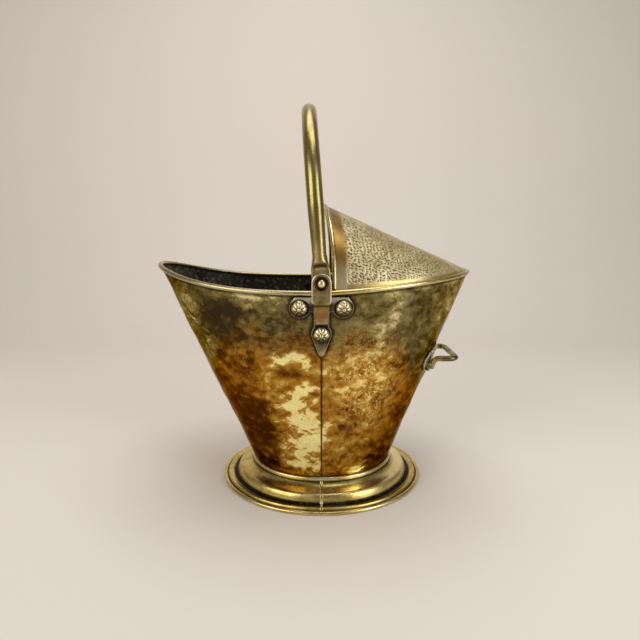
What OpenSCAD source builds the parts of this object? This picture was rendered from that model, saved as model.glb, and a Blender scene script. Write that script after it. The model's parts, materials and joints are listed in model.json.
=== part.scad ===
// Helmet-shaped coal scuttle of hammered brass sheet, on an oval moulded foot.
// +Z is up, the mouth looks along -X, and the hood and rear handle are on the +X side.
// The origin is on the floor, under the middle of the overall length and width.
// Angles round the oval are in degrees: 0 at the back, 90 at +Y, 180 at the mouth.

/* [Rim] */
// Length of the rim ahead of the handle pivots, to the middle of its bead
mouth_len = 211.6; // [190:0.1:230]
// Length of the rim behind the handle pivots, to the middle of its bead
back_len = 190.5; // [175:0.5:192]
// Width of the rim, middle to middle of its bead
rim_w = 244; // [215:1:260]
// How much the oval of the rim narrows towards its two ends, as a share
rim_narrow = 0.09; // [0:0.01:0.15]
// Height of the middle of the bead at the pivots
rim_h = 267; // [235:1:290]
// How far the rim rises at the tip of the mouth
lip_rise = 26; // [10:1:40]
// How late that rise comes: higher is later
lip_curve = 3; // [2:0.1:4]
// How far the rim rises at the back
back_rise = 16.5; // [8:0.5:17]
// How late that rise comes
back_curve = 1.3; // [1.1:0.1:2]
// Thickness across the rolled bead of the rim
bead_d = 6; // [5:0.1:7]

/* [Body and foot] */
// Thickness of the brass sheet
sheet = 1.2; // [0.8:0.1:1.4]
// Length of the body at the waist
waist_len = 186; // [165:1:200]
// Width of the body at the waist
waist_w = 163; // [145:1:175]
// Height of the waist
waist_h = 28; // [24:1:36]
// Length of the foot
foot_len = 275; // [250:1:300]
// Width of the foot
foot_w = 241; // [222:1:262]
// Thickness across the rolled hem of the foot
hem_d = 5.2; // [4.8:0.1:6]
// Height of the half-round band over the joint of body and foot
band_h = 6.4; // [5:0.2:9]
// How far that band stands out
band_out = 3; // [2:0.2:4.5]
// Height of the scuttle's floor above the table
floor_h = 30; // [28:1:45]
// Depth of the turned edge of that floor
floor_edge = 7; // [4:0.5:12]
// Width of the straps inside the two side seams
strap_w = 15; // [10:1:20]

/* [Hood] */
// How far behind the pivots the hood's open arch starts, at the rim
arch_back = 16; // [14:0.5:22]
// How far the top of the arch leans forward over its foot
arch_lean = 10; // [0:0.5:14]
// Height of the middle of the arch's bead above the floor, at the top
arch_h = 366.5; // [330:0.5:385]
// Thickness across the rolled bead of the arch
arch_bead_d = 5.2; // [4.8:0.1:6]
// Thickness of the hood's sheet
hood_sheet = 1; // [0.8:0.1:1.2]

/* [Bail handle] */
// Height of the pivots above the middle of the rim's bead
pivot_rise = 12; // [11.5:0.1:16]
// Distance from the pivots to the middle of the grip
bail_reach = 201.5; // [199:0.5:202]
// Thickness of the grip at the top
grip_d = 17.5; // [16:0.5:19]
// Thickness of the bail's legs just above the eyes
leg_d = 14.5; // [13:0.5:15]
// Width of the flattened eyes
eye_w = 20.6; // [19:0.2:22]
// Thickness of the flattened eyes
eye_t = 5; // [4:0.1:6]
// Height above the pivot at which the round leg starts
shoulder = 21; // [18:0.5:26]
// How far the bail stands off the vertical, towards the mouth
bail_tilt = 4.4; // [0:0.1:8]
// Thickness of the pivot pins
pivot_d = 8; // [6:0.5:9]
// Width of the domed heads of the pivot pins
pivot_head_d = 17; // [14:0.5:18]

/* [Ears] */
// Thickness of the cast plates
plate_t = 2.6; // [2:0.1:3.2]
// Distance between the two upper rosettes of an ear
rosette_span = 47.4; // [44:0.2:52]
// Drop from the middle of the rim's bead to the upper rosettes
rosette_drop = 15.6; // [15:0.2:19]
// Drop from there to the lower rosette
lobe_drop = 30; // [26:0.5:34]
// Drop from there to the pointed tip
tip_drop = 26.5; // [20:0.5:32]
// Radius of the two upper lobes
ear_lobe = 12.4; // [11.6:0.2:13]
// Radius of the lower lobe
ear_low = 11.6; // [11:0.2:12.4]
// Width of the rosette heads
rosette_d = 18.4; // [16:0.2:19]
// Number of petals on a rosette
petals = 8; // [6:1:10]
// Thickness of the rivet shanks
rivet_d = 4.6; // [3.6:0.2:5]
// Width of the tongue that carries the bail
tongue_w = 20.4; // [19:0.2:22]
// Thickness of that tongue
tongue_t = 3.2; // [2.6:0.1:4]
// Width of the cranked stem under the tongue
stem_w = 17; // [13:0.5:18]
// Height of the crank, measured along the vertical
crank_h = 20; // [15:0.5:24]

/* [Rear handle] */
// Height of the loop above the table
loop_h = 172; // [170:1:178]
// Width of the loop, middle to middle of its arms
loop_w = 72; // [60:1:80]
// How far the loop's grip lies behind the pivots, middle of the bar
loop_back = 176; // [165:0.5:182]
// Thickness of the loop's rod
loop_d = 6.6; // [5.5:0.1:8]
// Radius of the loop's corners, to the middle of the rod
loop_corner = 10; // [7:0.5:14]
// Height of the handle's feet, middle, above the table
pad_h = 162.5; // [155:0.5:166]
// Width of the handle's round feet
pad_d = 12; // [10:0.5:15]
// Thickness of those feet
pad_t = 3; // [2.4:0.1:3.6]
// Height of the middle of the plate's two side lobes above the table
backplate_h = 172; // [165:0.5:180]
// Radius of those lobes
backplate_lobe = 16; // [15:0.5:18]
// How far those lobes lie inside the loop's arms
backplate_inset = 4; // [2:0.5:6]
// Drop from there to the lower lobe
backplate_drop = 22; // [18:0.5:26]
// Radius of the lower lobe
backplate_low = 11; // [10:0.5:13]
// Drop from there to the plate's tip
backplate_tip = 22; // [16:0.5:26]
// Thickness of the small domed rivets' shanks
stud_d = 3.4; // [2.6:0.2:4.2]
// Width of their heads
stud_head_d = 6.4; // [5.4:0.2:7]

/* [Clearances] */
// Bedding gap between soldered or riveted faces
seat = 0.2; // [0.16:0.01:0.3]
// Gap between the two body sheets at each seam
seam_gap = 0.5; // [0.2:0.1:0.8]
// Side gap between a bail's eye and its neighbours
eye_gap = 0.8; // [0.5:0.1:1.2]
// Gap between the eye and the tongue in front of it
tongue_gap = 0.3; // [0.2:0.05:0.6]
// Gap round a pivot pin
pin_gap = 0.08; // [0.04:0.01:0.1]
// Gap round a rivet shank
rivet_gap = 0.15; // [0.05:0.01:0.25]

/* [Hidden] */
SEGS = 60;
STEP = 360 / SEGS;
PLATE_SEGS = 3;
HOOD_ROWS = 18;
HOOD_COLS = 24;
ARCH_SEGS = 28;
$fn = 48;

bead_r = bead_d / 2;
bead_wall = 0.95;
wire_r = bead_r - bead_wall - seat;
hem_r = hem_d / 2;
hem_wire_r = hem_r - bead_wall - seat;
arch_bead_r = arch_bead_d / 2;
arch_wire_r = arch_bead_r - bead_wall - seat;

// the pivots stand this far behind the middle of the overall length
pivot_x = (mouth_len - back_len) / 2;
pivot_z = rim_h + pivot_rise;
eye_in = rim_w / 2 + bead_r + eye_gap;
bail_y = eye_in + eye_t / 2;
tongue_in = eye_in + eye_t + tongue_gap;
tongue_out = tongue_in + tongue_t;
leg_h = bail_reach - bail_y;

// distances out from the middle of the body sheet
face = sheet / 2;
plate_in = face + seat;
plate_out = plate_in + plate_t;
strap_out = -face - seat;
strap_t = 1;
burr_t = 1.2;
burr_rim = 5;
clench_rim = 3;
clench_h = 2;
dot = 0.01;

// longer than the scuttle, and longer than any rivet, for what cuts right through
far = 400;
bore_h = 24;

// The body's walls are straight lines from the waist oval up to the rim

function unit(v) = v / norm(v);
function mix(a, b, k) = a + k * (b - a);
function rim_z(x) = rim_h + (x < 0 ? lip_rise * pow(-x / mouth_len, lip_curve)
                                   : back_rise * pow(x / back_len, back_curve));
function rim_pt(t) =
    let (x = (cos(t) < 0 ? mouth_len : back_len) * cos(t),
         y = rim_w / 2 * sin(t) * (1 - rim_narrow * pow(cos(t), 2)))
    [x, y, rim_z(x)];
function waist_pt(t) = [waist_len / 2 * cos(t), waist_w / 2 * sin(t), waist_h];
function up_dir(t) = unit(rim_pt(t) - waist_pt(t));
function wall_mid(t, f) = mix(waist_pt(t), rim_pt(t), f);
function out_dir(t, f) = unit(cross(wall_mid(t + 1, f) - wall_mid(t - 1, f), up_dir(t)));
function wall(t, f, out) = wall_mid(t, f) + out * out_dir(t, f);
// share of the wall's height at a height z, and at a distance d below the rim
function share(z, t) = (z - waist_h) / (rim_pt(t).z - waist_h);
function share_below_rim(d, t) = 1 - d / norm(rim_pt(t) - waist_pt(t));
// angle round the oval at a distance x behind the pivots, on the near or far side
function angle_at_x(x, f, side) =
    side * acos(x / mix(waist_len / 2, x < 0 ? mouth_len : back_len, f));
// angle round the oval at a distance y to the side, at the back
function angle_at_y(y, f) = asin(y / mix(waist_w / 2, rim_w / 2 * (1 - rim_narrow), f));

// An outline in (out, up) carried round the wall, listed clockwise
function ring_pts(t, f, outline) =
    [for (q = outline) wall_mid(t, f) + q.x * out_dir(t, f) + q.y * up_dir(t)];
function arc(r, a0, a1, n) = [for (i = [0:n]) let (a = mix(a0, a1, i / n)) r * [cos(a), sin(a)]];
// A rolled edge: an open tube with its slit at the angle "slit"
function roll(r, slit) =
    concat(arc(r, slit + 345, slit + 15, 11), arc(r - bead_wall, slit + 30, slit + 330, 10));
function disc(r) = arc(r, 360 - 22.5, 22.5, 7);

// The foot's section, as [share of its spread, height], from the waist out into the hem's slit
foot_sheet = 1;
hem_z = hem_r * cos(15);
foot_spread = (foot_len + foot_w - waist_len - waist_w) / 4 - hem_d;
foot_top = waist_h - band_h / 2 - seat;
foot_line = [
    [0.034, foot_top], [0.09, foot_top - 2.4], [0.19, foot_top - 4.7], [0.315, foot_top - 6.2],
    [0.45, foot_top - 7.2], [0.54, foot_top - 8.8], [0.59, foot_top - 12], [0.63, foot_top - 16],
    [0.685, 6.3], [0.775, 5.6], [0.875, 6.6], [0.945, 6.9], [0.985, 4.6],
    [0.992, hem_z + foot_sheet * 0.6], [1.026, hem_z + foot_sheet / 2]];
function foot_pt(t, g, z) =
    [mix(waist_len / 2 + face, foot_len / 2 - hem_d, g) * cos(t),
     mix(waist_w / 2 + face, foot_w / 2 - hem_d, g) * sin(t), z];
// direction along the section at point i, and the same point one sheet's thickness inside
function foot_run(i) =
    let (a = foot_line[max(i - 1, 0)], b = foot_line[min(i + 1, len(foot_line) - 1)])
    unit([(b.x - a.x) * foot_spread, b.y - a.y]);
function foot_inside(i) =
    let (d = foot_run(i), q = foot_line[i])
    [q.x + d.y * foot_sheet / foot_spread, max(q.y - d.x * foot_sheet, hem_z - foot_sheet / 2)];

// Solid swept through closed rings of points; each ring runs clockwise about the travel
module swept(rings, closed = false) {
    n = len(rings);
    m = len(rings[0]);
    sides = [for (i = [0:n - (closed ? 1 : 2)], j = [0:m - 1])
        let (a = i * m + j, b = i * m + (j + 1) % m, k = (i + 1) % n)
        let (c = k * m + (j + 1) % m, d = k * m + j)
        each [[a, c, b], [a, d, c]]];
    ends = closed ? [] : [[for (j = [0:m - 1]) j], [for (j = [m - 1:-1:0]) (n - 1) * m + j]];
    polyhedron([for (r = rings) each r], concat(sides, ends));
}

// Sheet between an outer and an inner grid of points
module skin(outer, inner) {
    n = len(outer) - 1;
    m = len(outer[0]) - 1;
    w = m + 1;
    b = (n + 1) * w;
    faces = concat(
        [for (i = [0:n - 1], j = [0:m - 1]) let (p = i * w + j, q = p + w)
            each [[p, p + 1, q + 1], [p, q + 1, q],
                  [b + p, b + q + 1, b + p + 1], [b + p, b + q, b + q + 1]]],
        [for (i = [0:n - 1]) let (p = i * w, q = p + w)
            each [[p, q, b + q], [p, b + q, b + p],
                  [q + m, p + m, b + p + m], [q + m, b + p + m, b + q + m]]],
        [for (j = [0:m - 1]) let (p = j, q = n * w + j)
            each [[p + 1, p, b + p], [p + 1, b + p, b + p + 1],
                  [q, q + 1, b + q + 1], [q, b + q + 1, b + q]]]);
    polyhedron(concat([for (r = outer) each r], [for (r = inner) each r]), faces);
}

module ring(f, outline) {
    swept([for (i = [0:SEGS - 1]) ring_pts(i * STEP, f, outline)], true);
}

// Stands its children on a point, with their +Z along the direction d
module stand(p, d) {
    translate(p) rotate([0, acos(d.z), atan2(d.y, d.x)]) children();
}

// Stands its children on the wall's middle, at an angle and a height
module on_wall(t, z) {
    stand(wall_mid(t, share(z, t)), out_dir(t, share(z, t))) children();
}

// Domed disc on the plane z = 0: a ball cut to a width and a height
module dome(d, h) {
    r = (d * d / 4 + h * h) / (2 * h);
    intersection() {
        translate([0, 0, h - r]) sphere(r);
        cylinder(d = d + 1, h = h + 1);
    }
}

// Angles of a half's grid: its two seam edges, with the common steps between them
function half_angles(mid) =
    concat([mid - 90 + dot], [for (k = [1:SEGS / 2 - 1]) mid - 90 + k * STEP], [mid + 90 - dot]);

/* Body */

module body_half(mid) {
    edge = seam_gap / 2;
    intersection() {
        difference() {
            skin([for (t = half_angles(mid)) body_edge(t, face)],
                 [for (t = half_angles(mid)) body_edge(t, -face)]);
            rivet_bores(rivet_d);
            stud_bores();
        }
        half_space(mid, edge);
    }
}
module half_space(mid, edge) {
    translate([mid == 0 ? edge : -edge - far, -far / 2, 0]) cube(far);
}
function body_edge(t, out) =
    [wall(t, share(waist_h - band_h / 2, t), out), wall(t, share_below_rim(wire_r + seat, t), out)];

module body_mouth_sheet() { color("darkgoldenrod") body_half(180); }
module body_back_sheet() { color("goldenrod") body_half(0); }

module rim_bead() { color("gold") ring(1, roll(bead_r, -90)); }
module rim_wire() { color("dimgray") ring(1, disc(wire_r)); }

// One strap behind each side seam, from the floor's edge up to the rim's bead
module seam_straps() {
    low = share(floor_h + floor_edge + seat, 90);
    color("peru") for (side = [1, -1]) difference() {
        intersection() {
            skin([for (k = [-2:2]) strap_line(side * 90 + k * STEP / 2, low, strap_out)],
                 [for (k = [-2:2]) strap_line(side * 90 + k * STEP / 2, low, strap_out - strap_t)]);
            translate([-strap_w / 2, -far / 2, 0]) cube([strap_w, far, far]);
        }
        rivet_bores(rivet_d);
    }
}
function strap_line(t, low, out) = [wall(t, low, out), wall(t, share_below_rim(bead_r + seat, t), out)];

/* Foot */

module foot_half(mid) {
    n = len(foot_line) - 1;
    edge = seam_gap / 2;
    outline = concat(foot_line, [for (i = [n:-1:0]) foot_inside(i)]);
    intersection() {
        swept([for (t = half_angles(mid)) [for (q = outline) foot_pt(t, q.x, q.y)]]);
        half_space(mid, edge);
    }
}
module foot_mouth_half() { color("goldenrod") foot_half(180); }
module foot_back_half() { color("darkgoldenrod") foot_half(0); }

// Raised strips soldered over the foot's two seams
module foot_seam_strips() {
    n = len(foot_line) - 3;
    lift = 0.8;
    half_w = 1.6;
    low = [for (i = [0:n]) foot_lifted(i, seat)];
    outline = concat([for (i = [0:n]) foot_lifted(i, seat + lift)], [for (i = [n:-1:0]) low[i]]);
    color("khaki") for (side = [1, -1]) intersection() {
        swept([for (k = [-1:1]) [for (q = outline) foot_pt(side * 90 + k * STEP, q.x, q.y)]]);
        translate([-half_w, -far / 2, 0]) cube([2 * half_w, far, far]);
    }
}
function foot_lifted(i, d) =
    let (r = foot_run(i), q = foot_line[i]) [q.x - r.y * d / foot_spread, q.y + r.x * d];

// The hem's tube lies round the foot's edge, with an outline in (out, up) about its middle
function hem_pts(t, outline) =
    [for (q = outline) foot_pt(t, 1, hem_z + q.y) + (q.x + hem_r) * [cos(t), sin(t), 0]];
module hem(outline) {
    swept([for (i = [0:SEGS - 1]) hem_pts(i * STEP, outline)], true);
}
module hem_bead() { color("gold") hem(roll(hem_r, 180)); }
module hem_wire() { color("dimgray") hem(disc(hem_wire_r)); }

// Half-round band over the joint
module waist_band() {
    bulge = [for (a = [90:-22.5:-90]) [band_out * cos(a), band_h / 2 * sin(a)]];
    color("gold") ring(0, [for (q = bulge) [q.x + plate_in, q.y]]);
}

// Floor pan: a plate with a turned-up edge inside the body
module floor_plate() {
    color("saddlebrown") difference() {
        pan_block(floor_h, floor_h + floor_edge, -face - seat);
        pan_block(floor_h + sheet, floor_h + floor_edge + 1, -face - seat - sheet);
    }
}
module pan_block(z0, z1, out) {
    swept([for (z = [z0, z1]) [for (i = [0:SEGS - 1]) wall_at(i * STEP, z, out)]]);
}
function wall_at(t, z, out) =
    let (f = share(z, t), p = wall(t, share(z - out * out_dir(t, f).z, t), out)) [p.x, p.y, z];

/* Hood */

// Its lower edge stands just inside the rim's bead and its ridge is straight
hood_in = bead_r + seat + hood_sheet / 2;
hood_foot = 2.5;
hood_end = 3;
hood_start = acos(arch_back / back_len);
tail_x = back_len - bead_r - 1;
tail_z = rim_h + back_rise + bead_r;
function hood_angle(k) = mix(hood_start, hood_end, k);
function hood_base(t) = rim_pt(t) - hood_in * out_dir(t, 1) - [0, 0, hood_foot];
// k runs from the arch to the tail, a from the +Y foot over the ridge to the -Y foot
function hood_pt(k, a) =
    let (b = hood_base(hood_angle(k)), along = (b.x - hood_base(hood_start).x))
    let (q = along / (hood_base(hood_end).x - hood_base(hood_start).x))
    let (cx = mix(arch_back - arch_lean, tail_x, q), cz = mix(arch_h, tail_z, q))
    [b.x + (cx - b.x) * pow(sin(a), 3), b.y * cos(a), b.z + (cz - b.z) * sin(a)];
function hood_dir(k, a) =
    let (da = 2, dk = 0.02)
    unit(cross(hood_pt(k, min(a + da, 180)) - hood_pt(k, max(a - da, 0)),
               hood_pt(k + dk, a) - hood_pt(max(k - dk, 0), a)));
function hood_face(k, a, out) = hood_pt(k, a) + out * hood_dir(k, a);
function arch_ahead(a) = unit(hood_pt(0, a) - hood_pt(0.04, a));
arch_gap = arch_wire_r + seat;

module hood() {
    cols = [for (j = [0:HOOD_COLS]) 180 * j / HOOD_COLS];
    rows = [for (i = [0:HOOD_ROWS]) i / HOOD_ROWS];
    color("khaki") skin([for (a = cols) [for (k = rows) hood_face(k, a, hood_sheet / 2)]],
                        [for (a = cols) [for (k = rows) hood_face(k, a, -hood_sheet / 2)]]);
}

// Rolled front edge of the hood, standing on the rim's bead
module arch_roll(outline) {
    first = asin((hood_foot + bead_r + 2 * seat) / (arch_h - rim_h));
    swept([for (i = [0:ARCH_SEGS])
        let (a = mix(first, 180 - first, i / ARCH_SEGS), d = arch_ahead(a), n = hood_dir(0, a))
        [for (q = outline) hood_pt(0, a) + (q.x + arch_gap) * d + q.y * n]]);
}
module arch_bead() { color("gold") arch_roll(roll(arch_bead_r, 180)); }
module arch_wire() { color("dimgray") arch_roll(disc(arch_wire_r)); }

/* Ears, rosettes and pivots: side is 1 for +Y and -1 for -Y */

rosette_z = rim_h - rosette_drop;
lobe_z = rosette_z - lobe_drop;
tip_z = lobe_z - tip_drop;
function rosette_angle(k, side) = angle_at_x(k * rosette_span / 2, share(rosette_z, 90), side);

// Stands its children at an ear's three rivets: k is -1, 1 for the upper ones, 0 for the lower
module at_rosettes(side, ks = [-1, 0, 1]) {
    for (k = ks)
        if (k == 0) on_wall(side * 90, lobe_z) children();
        else on_wall(rosette_angle(k, side), rosette_z) children();
}
module rivet_bores(d) {
    for (side = [1, -1]) at_rosettes(side) cylinder(d = d + 2 * rivet_gap, h = bore_h, center = true);
}

tip_r = 0.8;
// Outline of a plate with two side lobes, a lower lobe and a pointed tip, drawn with its
// middle at the side lobes' height
module trefoil(span, lobe, top, low, low_r, tip) {
    translate([-span / 2, 0]) circle(lobe);
    translate([span / 2, 0]) circle(lobe);
    translate([-span / 2 - lobe * 0.6, 0]) square([span + lobe * 1.2, top]);
    translate([-span / 2, -lobe * 0.35]) square([span, lobe * 0.35 + dot]);
    translate([-low_r * 0.75, -low]) square([low_r * 1.5, low]);
    hull() {
        translate([0, -low]) circle(low_r, $fn = 32);
        translate([0, tip_r - low - tip]) circle(tip_r, $fn = 12);
    }
}

// The part of a plate that lies on the wall, between two distances out from its middle
module plate_skin(mid, z0, z1, segs = PLATE_SEGS) {
    ts = [for (k = [-segs:segs]) mid + k * STEP];
    skin([for (t = ts) [wall(t, share(z0, t), plate_out), wall(t, share(z1, t), plate_out)]],
         [for (t = ts) [wall(t, share(z0, t), plate_in), wall(t, share(z1, t), plate_in)]]);
}

module ear_plate(side) {
    top = rosette_drop - bead_r - 2 * seat;
    stem_foot = rosette_z + top - 8 - crank_h;
    lean = wall(90, share(stem_foot, 90), 0).y;
    knee = stem_foot + crank_h;
    crown = pivot_z + tongue_w / 2;
    difference() {
        union() {
            intersection() {
                plate_skin(side * 90, tip_z - 10, rosette_z + top);
                translate([0, side * far / 2, rosette_z]) rotate([90, 0, 0])
                    linear_extrude(far, center = true)
                    trefoil(rosette_span, ear_lobe, top, lobe_drop, ear_low, tip_drop);
            }
            // cranked stem and tongue: its side view, trimmed to its front view
            intersection() {
                rotate([90, 0, 90]) linear_extrude(2 * tongue_w, center = true) polygon([
                    [side * (lean + plate_in + 1), stem_foot - 2], [side * (lean + plate_out), stem_foot - 2],
                    [side * tongue_out, knee], [side * tongue_out, crown + 1],
                    [side * tongue_in, crown + 1], [side * tongue_in, knee + 1],
                    [side * (lean + plate_in + 1), stem_foot + 4]]);
                rotate([90, 0, 0]) linear_extrude(far, center = true) {
                    translate([0, pivot_z]) circle(d = tongue_w);
                    translate([-tongue_w / 2, knee]) square([tongue_w, pivot_z - knee]);
                    translate([-stem_w / 2, stem_foot - 3]) square([stem_w, crank_h + 4]);
                }
            }
        }
        rivet_bores(rivet_d);
        translate([0, 0, pivot_z]) rotate([90, 0, 0])
            cylinder(d = pivot_d + 2 * pin_gap, h = far, center = true);
    }
}
module ear_plate_near() { color("darkgoldenrod") ear_plate(-1); }
module ear_plate_far() { color("darkgoldenrod") ear_plate(1); }

// Flower-headed rivet: base disc, petals, boss, shank and the end clenched over its burr
rosette_base = 1.2;
rosette_rim = 1.5;
petal_r = 3;
petal_edge = 0.4;
boss_d = 8;
boss_h = 4.8;
module rosette(depth) {
    translate([0, 0, plate_out + seat / 2]) {
        cylinder(d = rosette_d, h = rosette_base);
        translate([0, 0, rosette_base - petal_edge / 2]) dome(rosette_d - 2 * rosette_rim, boss_h / 2);
        intersection() {
            for (i = [0:petals - 1]) rotate(i * 360 / petals)
                translate([rosette_d / 2 - petal_r - petal_edge, 0, rosette_base - petal_edge])
                sphere(petal_r);
            cylinder(d = rosette_d, h = boss_h + petal_r);
        }
        dome(boss_d, boss_h);
    }
    translate([0, 0, -depth]) cylinder(d = rivet_d, h = depth + plate_out + rosette_base / 2);
    translate([0, 0, -depth]) mirror([0, 0, 1]) dome(rivet_d + clench_rim, clench_h);
}
function rivet_depth(k) = face + 2 * seat + burr_t + (k == 0 ? strap_t + seat : 0);
module rosettes(side) {
    color("gold") for (k = [-1:1]) at_rosettes(side, [k]) rosette(rivet_depth(k));
}
module rosettes_near() { rosettes(-1); }
module rosettes_far() { rosettes(1); }

// Washers on the inside, under the clenched ends
module burrs(side) {
    color("peru") for (k = [-1:1]) at_rosettes(side, [k])
        translate([0, 0, -rivet_depth(k) + seat / 2]) burr(rivet_d);
}
module burr(d) {
    difference() {
        cylinder(d = d + burr_rim, h = burr_t);
        translate([0, 0, -1]) cylinder(d = d + 2 * rivet_gap, h = burr_t + 2);
    }
}
module burrs_near() { burrs(-1); }
module burrs_far() { burrs(1); }

// Pivot pin: domed head outside the tongue, shank through the eye, clenched end inside
pivot_head_h = 5.4;
pivot_dome_h = 4.2;
pin_washer_t = 1.2;
pin_washer_rim = 6;
pin_end = eye_in - 2 * seat - pin_washer_t;
module at_pivot(side) {
    translate([0, 0, pivot_z]) rotate([side * -90, 0, 0]) children();
}
module pivot_pin(side) {
    color("gold") at_pivot(side) {
        translate([0, 0, tongue_out + seat / 2]) {
            cylinder(d = pivot_head_d, h = pivot_head_h - pivot_dome_h);
            translate([0, 0, pivot_head_h - pivot_dome_h]) dome(pivot_head_d, pivot_dome_h);
        }
        translate([0, 0, pin_end]) cylinder(d = pivot_d, h = tongue_out + tongue_gap * 2 - pin_end);
        translate([0, 0, pin_end]) mirror([0, 0, 1]) dome(pivot_d + clench_rim, clench_h);
    }
}
module pivot_pin_near() { pivot_pin(-1); }
module pivot_pin_far() { pivot_pin(1); }

// Washers between the eyes and the clenched ends of the pins
module pivot_washers() {
    color("peru") for (side = [1, -1]) at_pivot(side) translate([0, 0, pin_end + seat / 2]) difference() {
        cylinder(d = pivot_d + pin_washer_rim, h = pin_washer_t);
        translate([0, 0, -1]) cylinder(d = pivot_d + 2 * pin_gap, h = pin_washer_t + 2);
    }
}

/* Bail handle */

module bail() {
    color("goldenrod") translate([0, 0, pivot_z]) rotate([0, -bail_tilt, 0]) {
        translate([0, 0, leg_h]) rotate([90, 0, 90])
            rotate_extrude(angle = 180) translate([bail_y, 0]) circle(d = grip_d);
        for (side = [1, -1]) translate([0, side * bail_y, 0]) {
            translate([0, 0, shoulder]) cylinder(d1 = leg_d, d2 = grip_d, h = leg_h - shoulder);
            bail_eye(side);
        }
    }
}
// Flattened eye and the neck that swells into the round leg
module bail_eye(side) {
    difference() {
        union() {
            rotate([90, 0, 0]) cylinder(d = eye_w, h = eye_t, center = true);
            intersection() {
                rotate([90, 0, 0]) linear_extrude(leg_d, center = true) polygon([
                    [-eye_w / 2, 0], [eye_w / 2, 0], [leg_d / 2, shoulder], [-leg_d / 2, shoulder]]);
                rotate([90, 0, 90]) linear_extrude(eye_w, center = true) polygon([
                    [-eye_t / 2, 0], [eye_t / 2, 0], [eye_t / 2, shoulder - 7], [leg_d / 2, shoulder],
                    [-leg_d / 2, shoulder], [-eye_t / 2, shoulder - 7]]);
                cylinder(d1 = eye_w + 4, d2 = leg_d, h = shoulder);
            }
        }
        rotate([90, 0, 0]) cylinder(d = pivot_d + 2 * pin_gap, h = 3 * eye_t, center = true);
    }
}

/* Rear handle */

lower_stud_z = backplate_h - backplate_drop;
// Angle round the wall at which an arm rests, from its side distance and its reach off the wall
arm_out = plate_out + seat + loop_d / 2;
function arm_angle(z) =
    let (f = share(z, 0), n = out_dir(angle_at_y(loop_w / 2, f), f))
    angle_at_y(loop_w / 2 - arm_out * n.y, f);
function arm_dir(z) = out_dir(arm_angle(z), share(z, 0));
function arm(side, z) =
    let (t = arm_angle(z), p = wall(t, share(z - arm_out * arm_dir(z).z, t), arm_out))
    [p.x, side * loop_w / 2, z];
function pad_angle(side) = side * arm_angle(pad_h);
module at_studs() {
    on_wall(pad_angle(1), pad_h) children();
    on_wall(pad_angle(-1), pad_h) children();
    on_wall(0, lower_stud_z) children();
}
module stud_bores() {
    at_studs() cylinder(d = stud_d + 2 * rivet_gap, h = bore_h, center = true);
}

module rear_plate() {
    top = backplate_lobe * 0.9;
    low = lower_stud_z - backplate_tip;
    color("darkgoldenrod") difference() {
        intersection() {
            plate_skin(0, low - backplate_lobe, backplate_h + 2 * backplate_lobe, 5);
            translate([0, 0, backplate_h]) rotate([90, 0, 90]) linear_extrude(far)
                trefoil(loop_w - 2 * backplate_inset, backplate_lobe, top, backplate_drop,
                        backplate_low, backplate_tip);
        }
        stud_bores();
    }
}

// Loop of rod whose ends turn down into two round feet
function elbow(a, corner, b) =
    [for (k = [0:0.25:1]) mix(mix(a, corner, k), mix(corner, b, k), k)];
arm_end = pad_h + stud_head_d / 2 + 0.5 + arm_out * arm_dir(pad_h).z;
function loop_end(side) = elbow(arm(side, arm_end), arm(side, loop_h), arm(side, loop_h) + [loop_d, 0, 0]);
function loop_turn(side) =
    [for (a = [90:-15:0]) [loop_back - loop_corner + loop_corner * cos(a),
                           side * (loop_w / 2 - loop_corner + loop_corner * sin(a)), loop_h]];
function backwards(v) = [for (i = [len(v) - 1:-1:0]) v[i]];
loop_path = concat(loop_end(-1), loop_turn(-1), backwards(loop_turn(1)), backwards(loop_end(1)));
function rod_ring(path, i, r) =
    let (run = unit(path[min(i + 1, len(path) - 1)] - path[max(i - 1, 0)]))
    let (b = unit([-run.y, run.x, 0]), n = cross(run, b))
    [for (q = arc(r, 15, 345, 11)) path[i] + q.x * b + q.y * n];

module rear_handle() {
    color("goldenrod") difference() {
        union() {
            swept([for (i = [0:len(loop_path) - 1]) rod_ring(loop_path, i, loop_d / 2)]);
            for (side = [1, -1]) on_wall(pad_angle(side), pad_h)
                translate([0, 0, plate_out + seat / 2]) cylinder(d = pad_d, h = pad_t);
        }
        stud_bores();
    }
}

// Domed rivets: two hold the handle's feet, one holds the plate's lower lobe
function stud_grip(on_pad) = plate_out + seat + (on_pad ? pad_t : 0);
stud_burr_at = -face - 3.5 * seat - burr_t;
stud_head_h = 2.4;
module stud(head_at) {
    depth = seat / 2 - stud_burr_at;
    translate([0, 0, head_at]) dome(stud_head_d, stud_head_h);
    translate([0, 0, -depth]) cylinder(d = stud_d, h = depth + head_at + stud_head_h / 4);
    translate([0, 0, -depth]) mirror([0, 0, 1]) dome(stud_d + clench_rim, clench_h);
}
module rear_studs() {
    color("gold") {
        on_wall(pad_angle(1), pad_h) stud(stud_grip(true));
        on_wall(pad_angle(-1), pad_h) stud(stud_grip(true));
        on_wall(0, lower_stud_z) stud(stud_grip(false));
    }
}
module rear_burrs() {
    color("peru") at_studs() translate([0, 0, stud_burr_at]) burr(stud_d);
}

// Moves a piece drawn about the pivots to its place about the middle of the length
module placed() { translate([pivot_x, 0, 0]) children(); }

placed() body_mouth_sheet();
placed() body_back_sheet();
placed() rim_bead();
placed() rim_wire();
placed() seam_straps();
placed() foot_mouth_half();
placed() foot_back_half();
placed() foot_seam_strips();
placed() hem_bead();
placed() hem_wire();
placed() waist_band();
placed() floor_plate();
placed() hood();
placed() arch_bead();
placed() arch_wire();
placed() ear_plate_near();
placed() ear_plate_far();
placed() rosettes_near();
placed() rosettes_far();
placed() burrs_near();
placed() burrs_far();
placed() pivot_pin_near();
placed() pivot_pin_far();
placed() pivot_washers();
placed() bail();
placed() rear_plate();
placed() rear_handle();
placed() rear_studs();
placed() rear_burrs();
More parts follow.
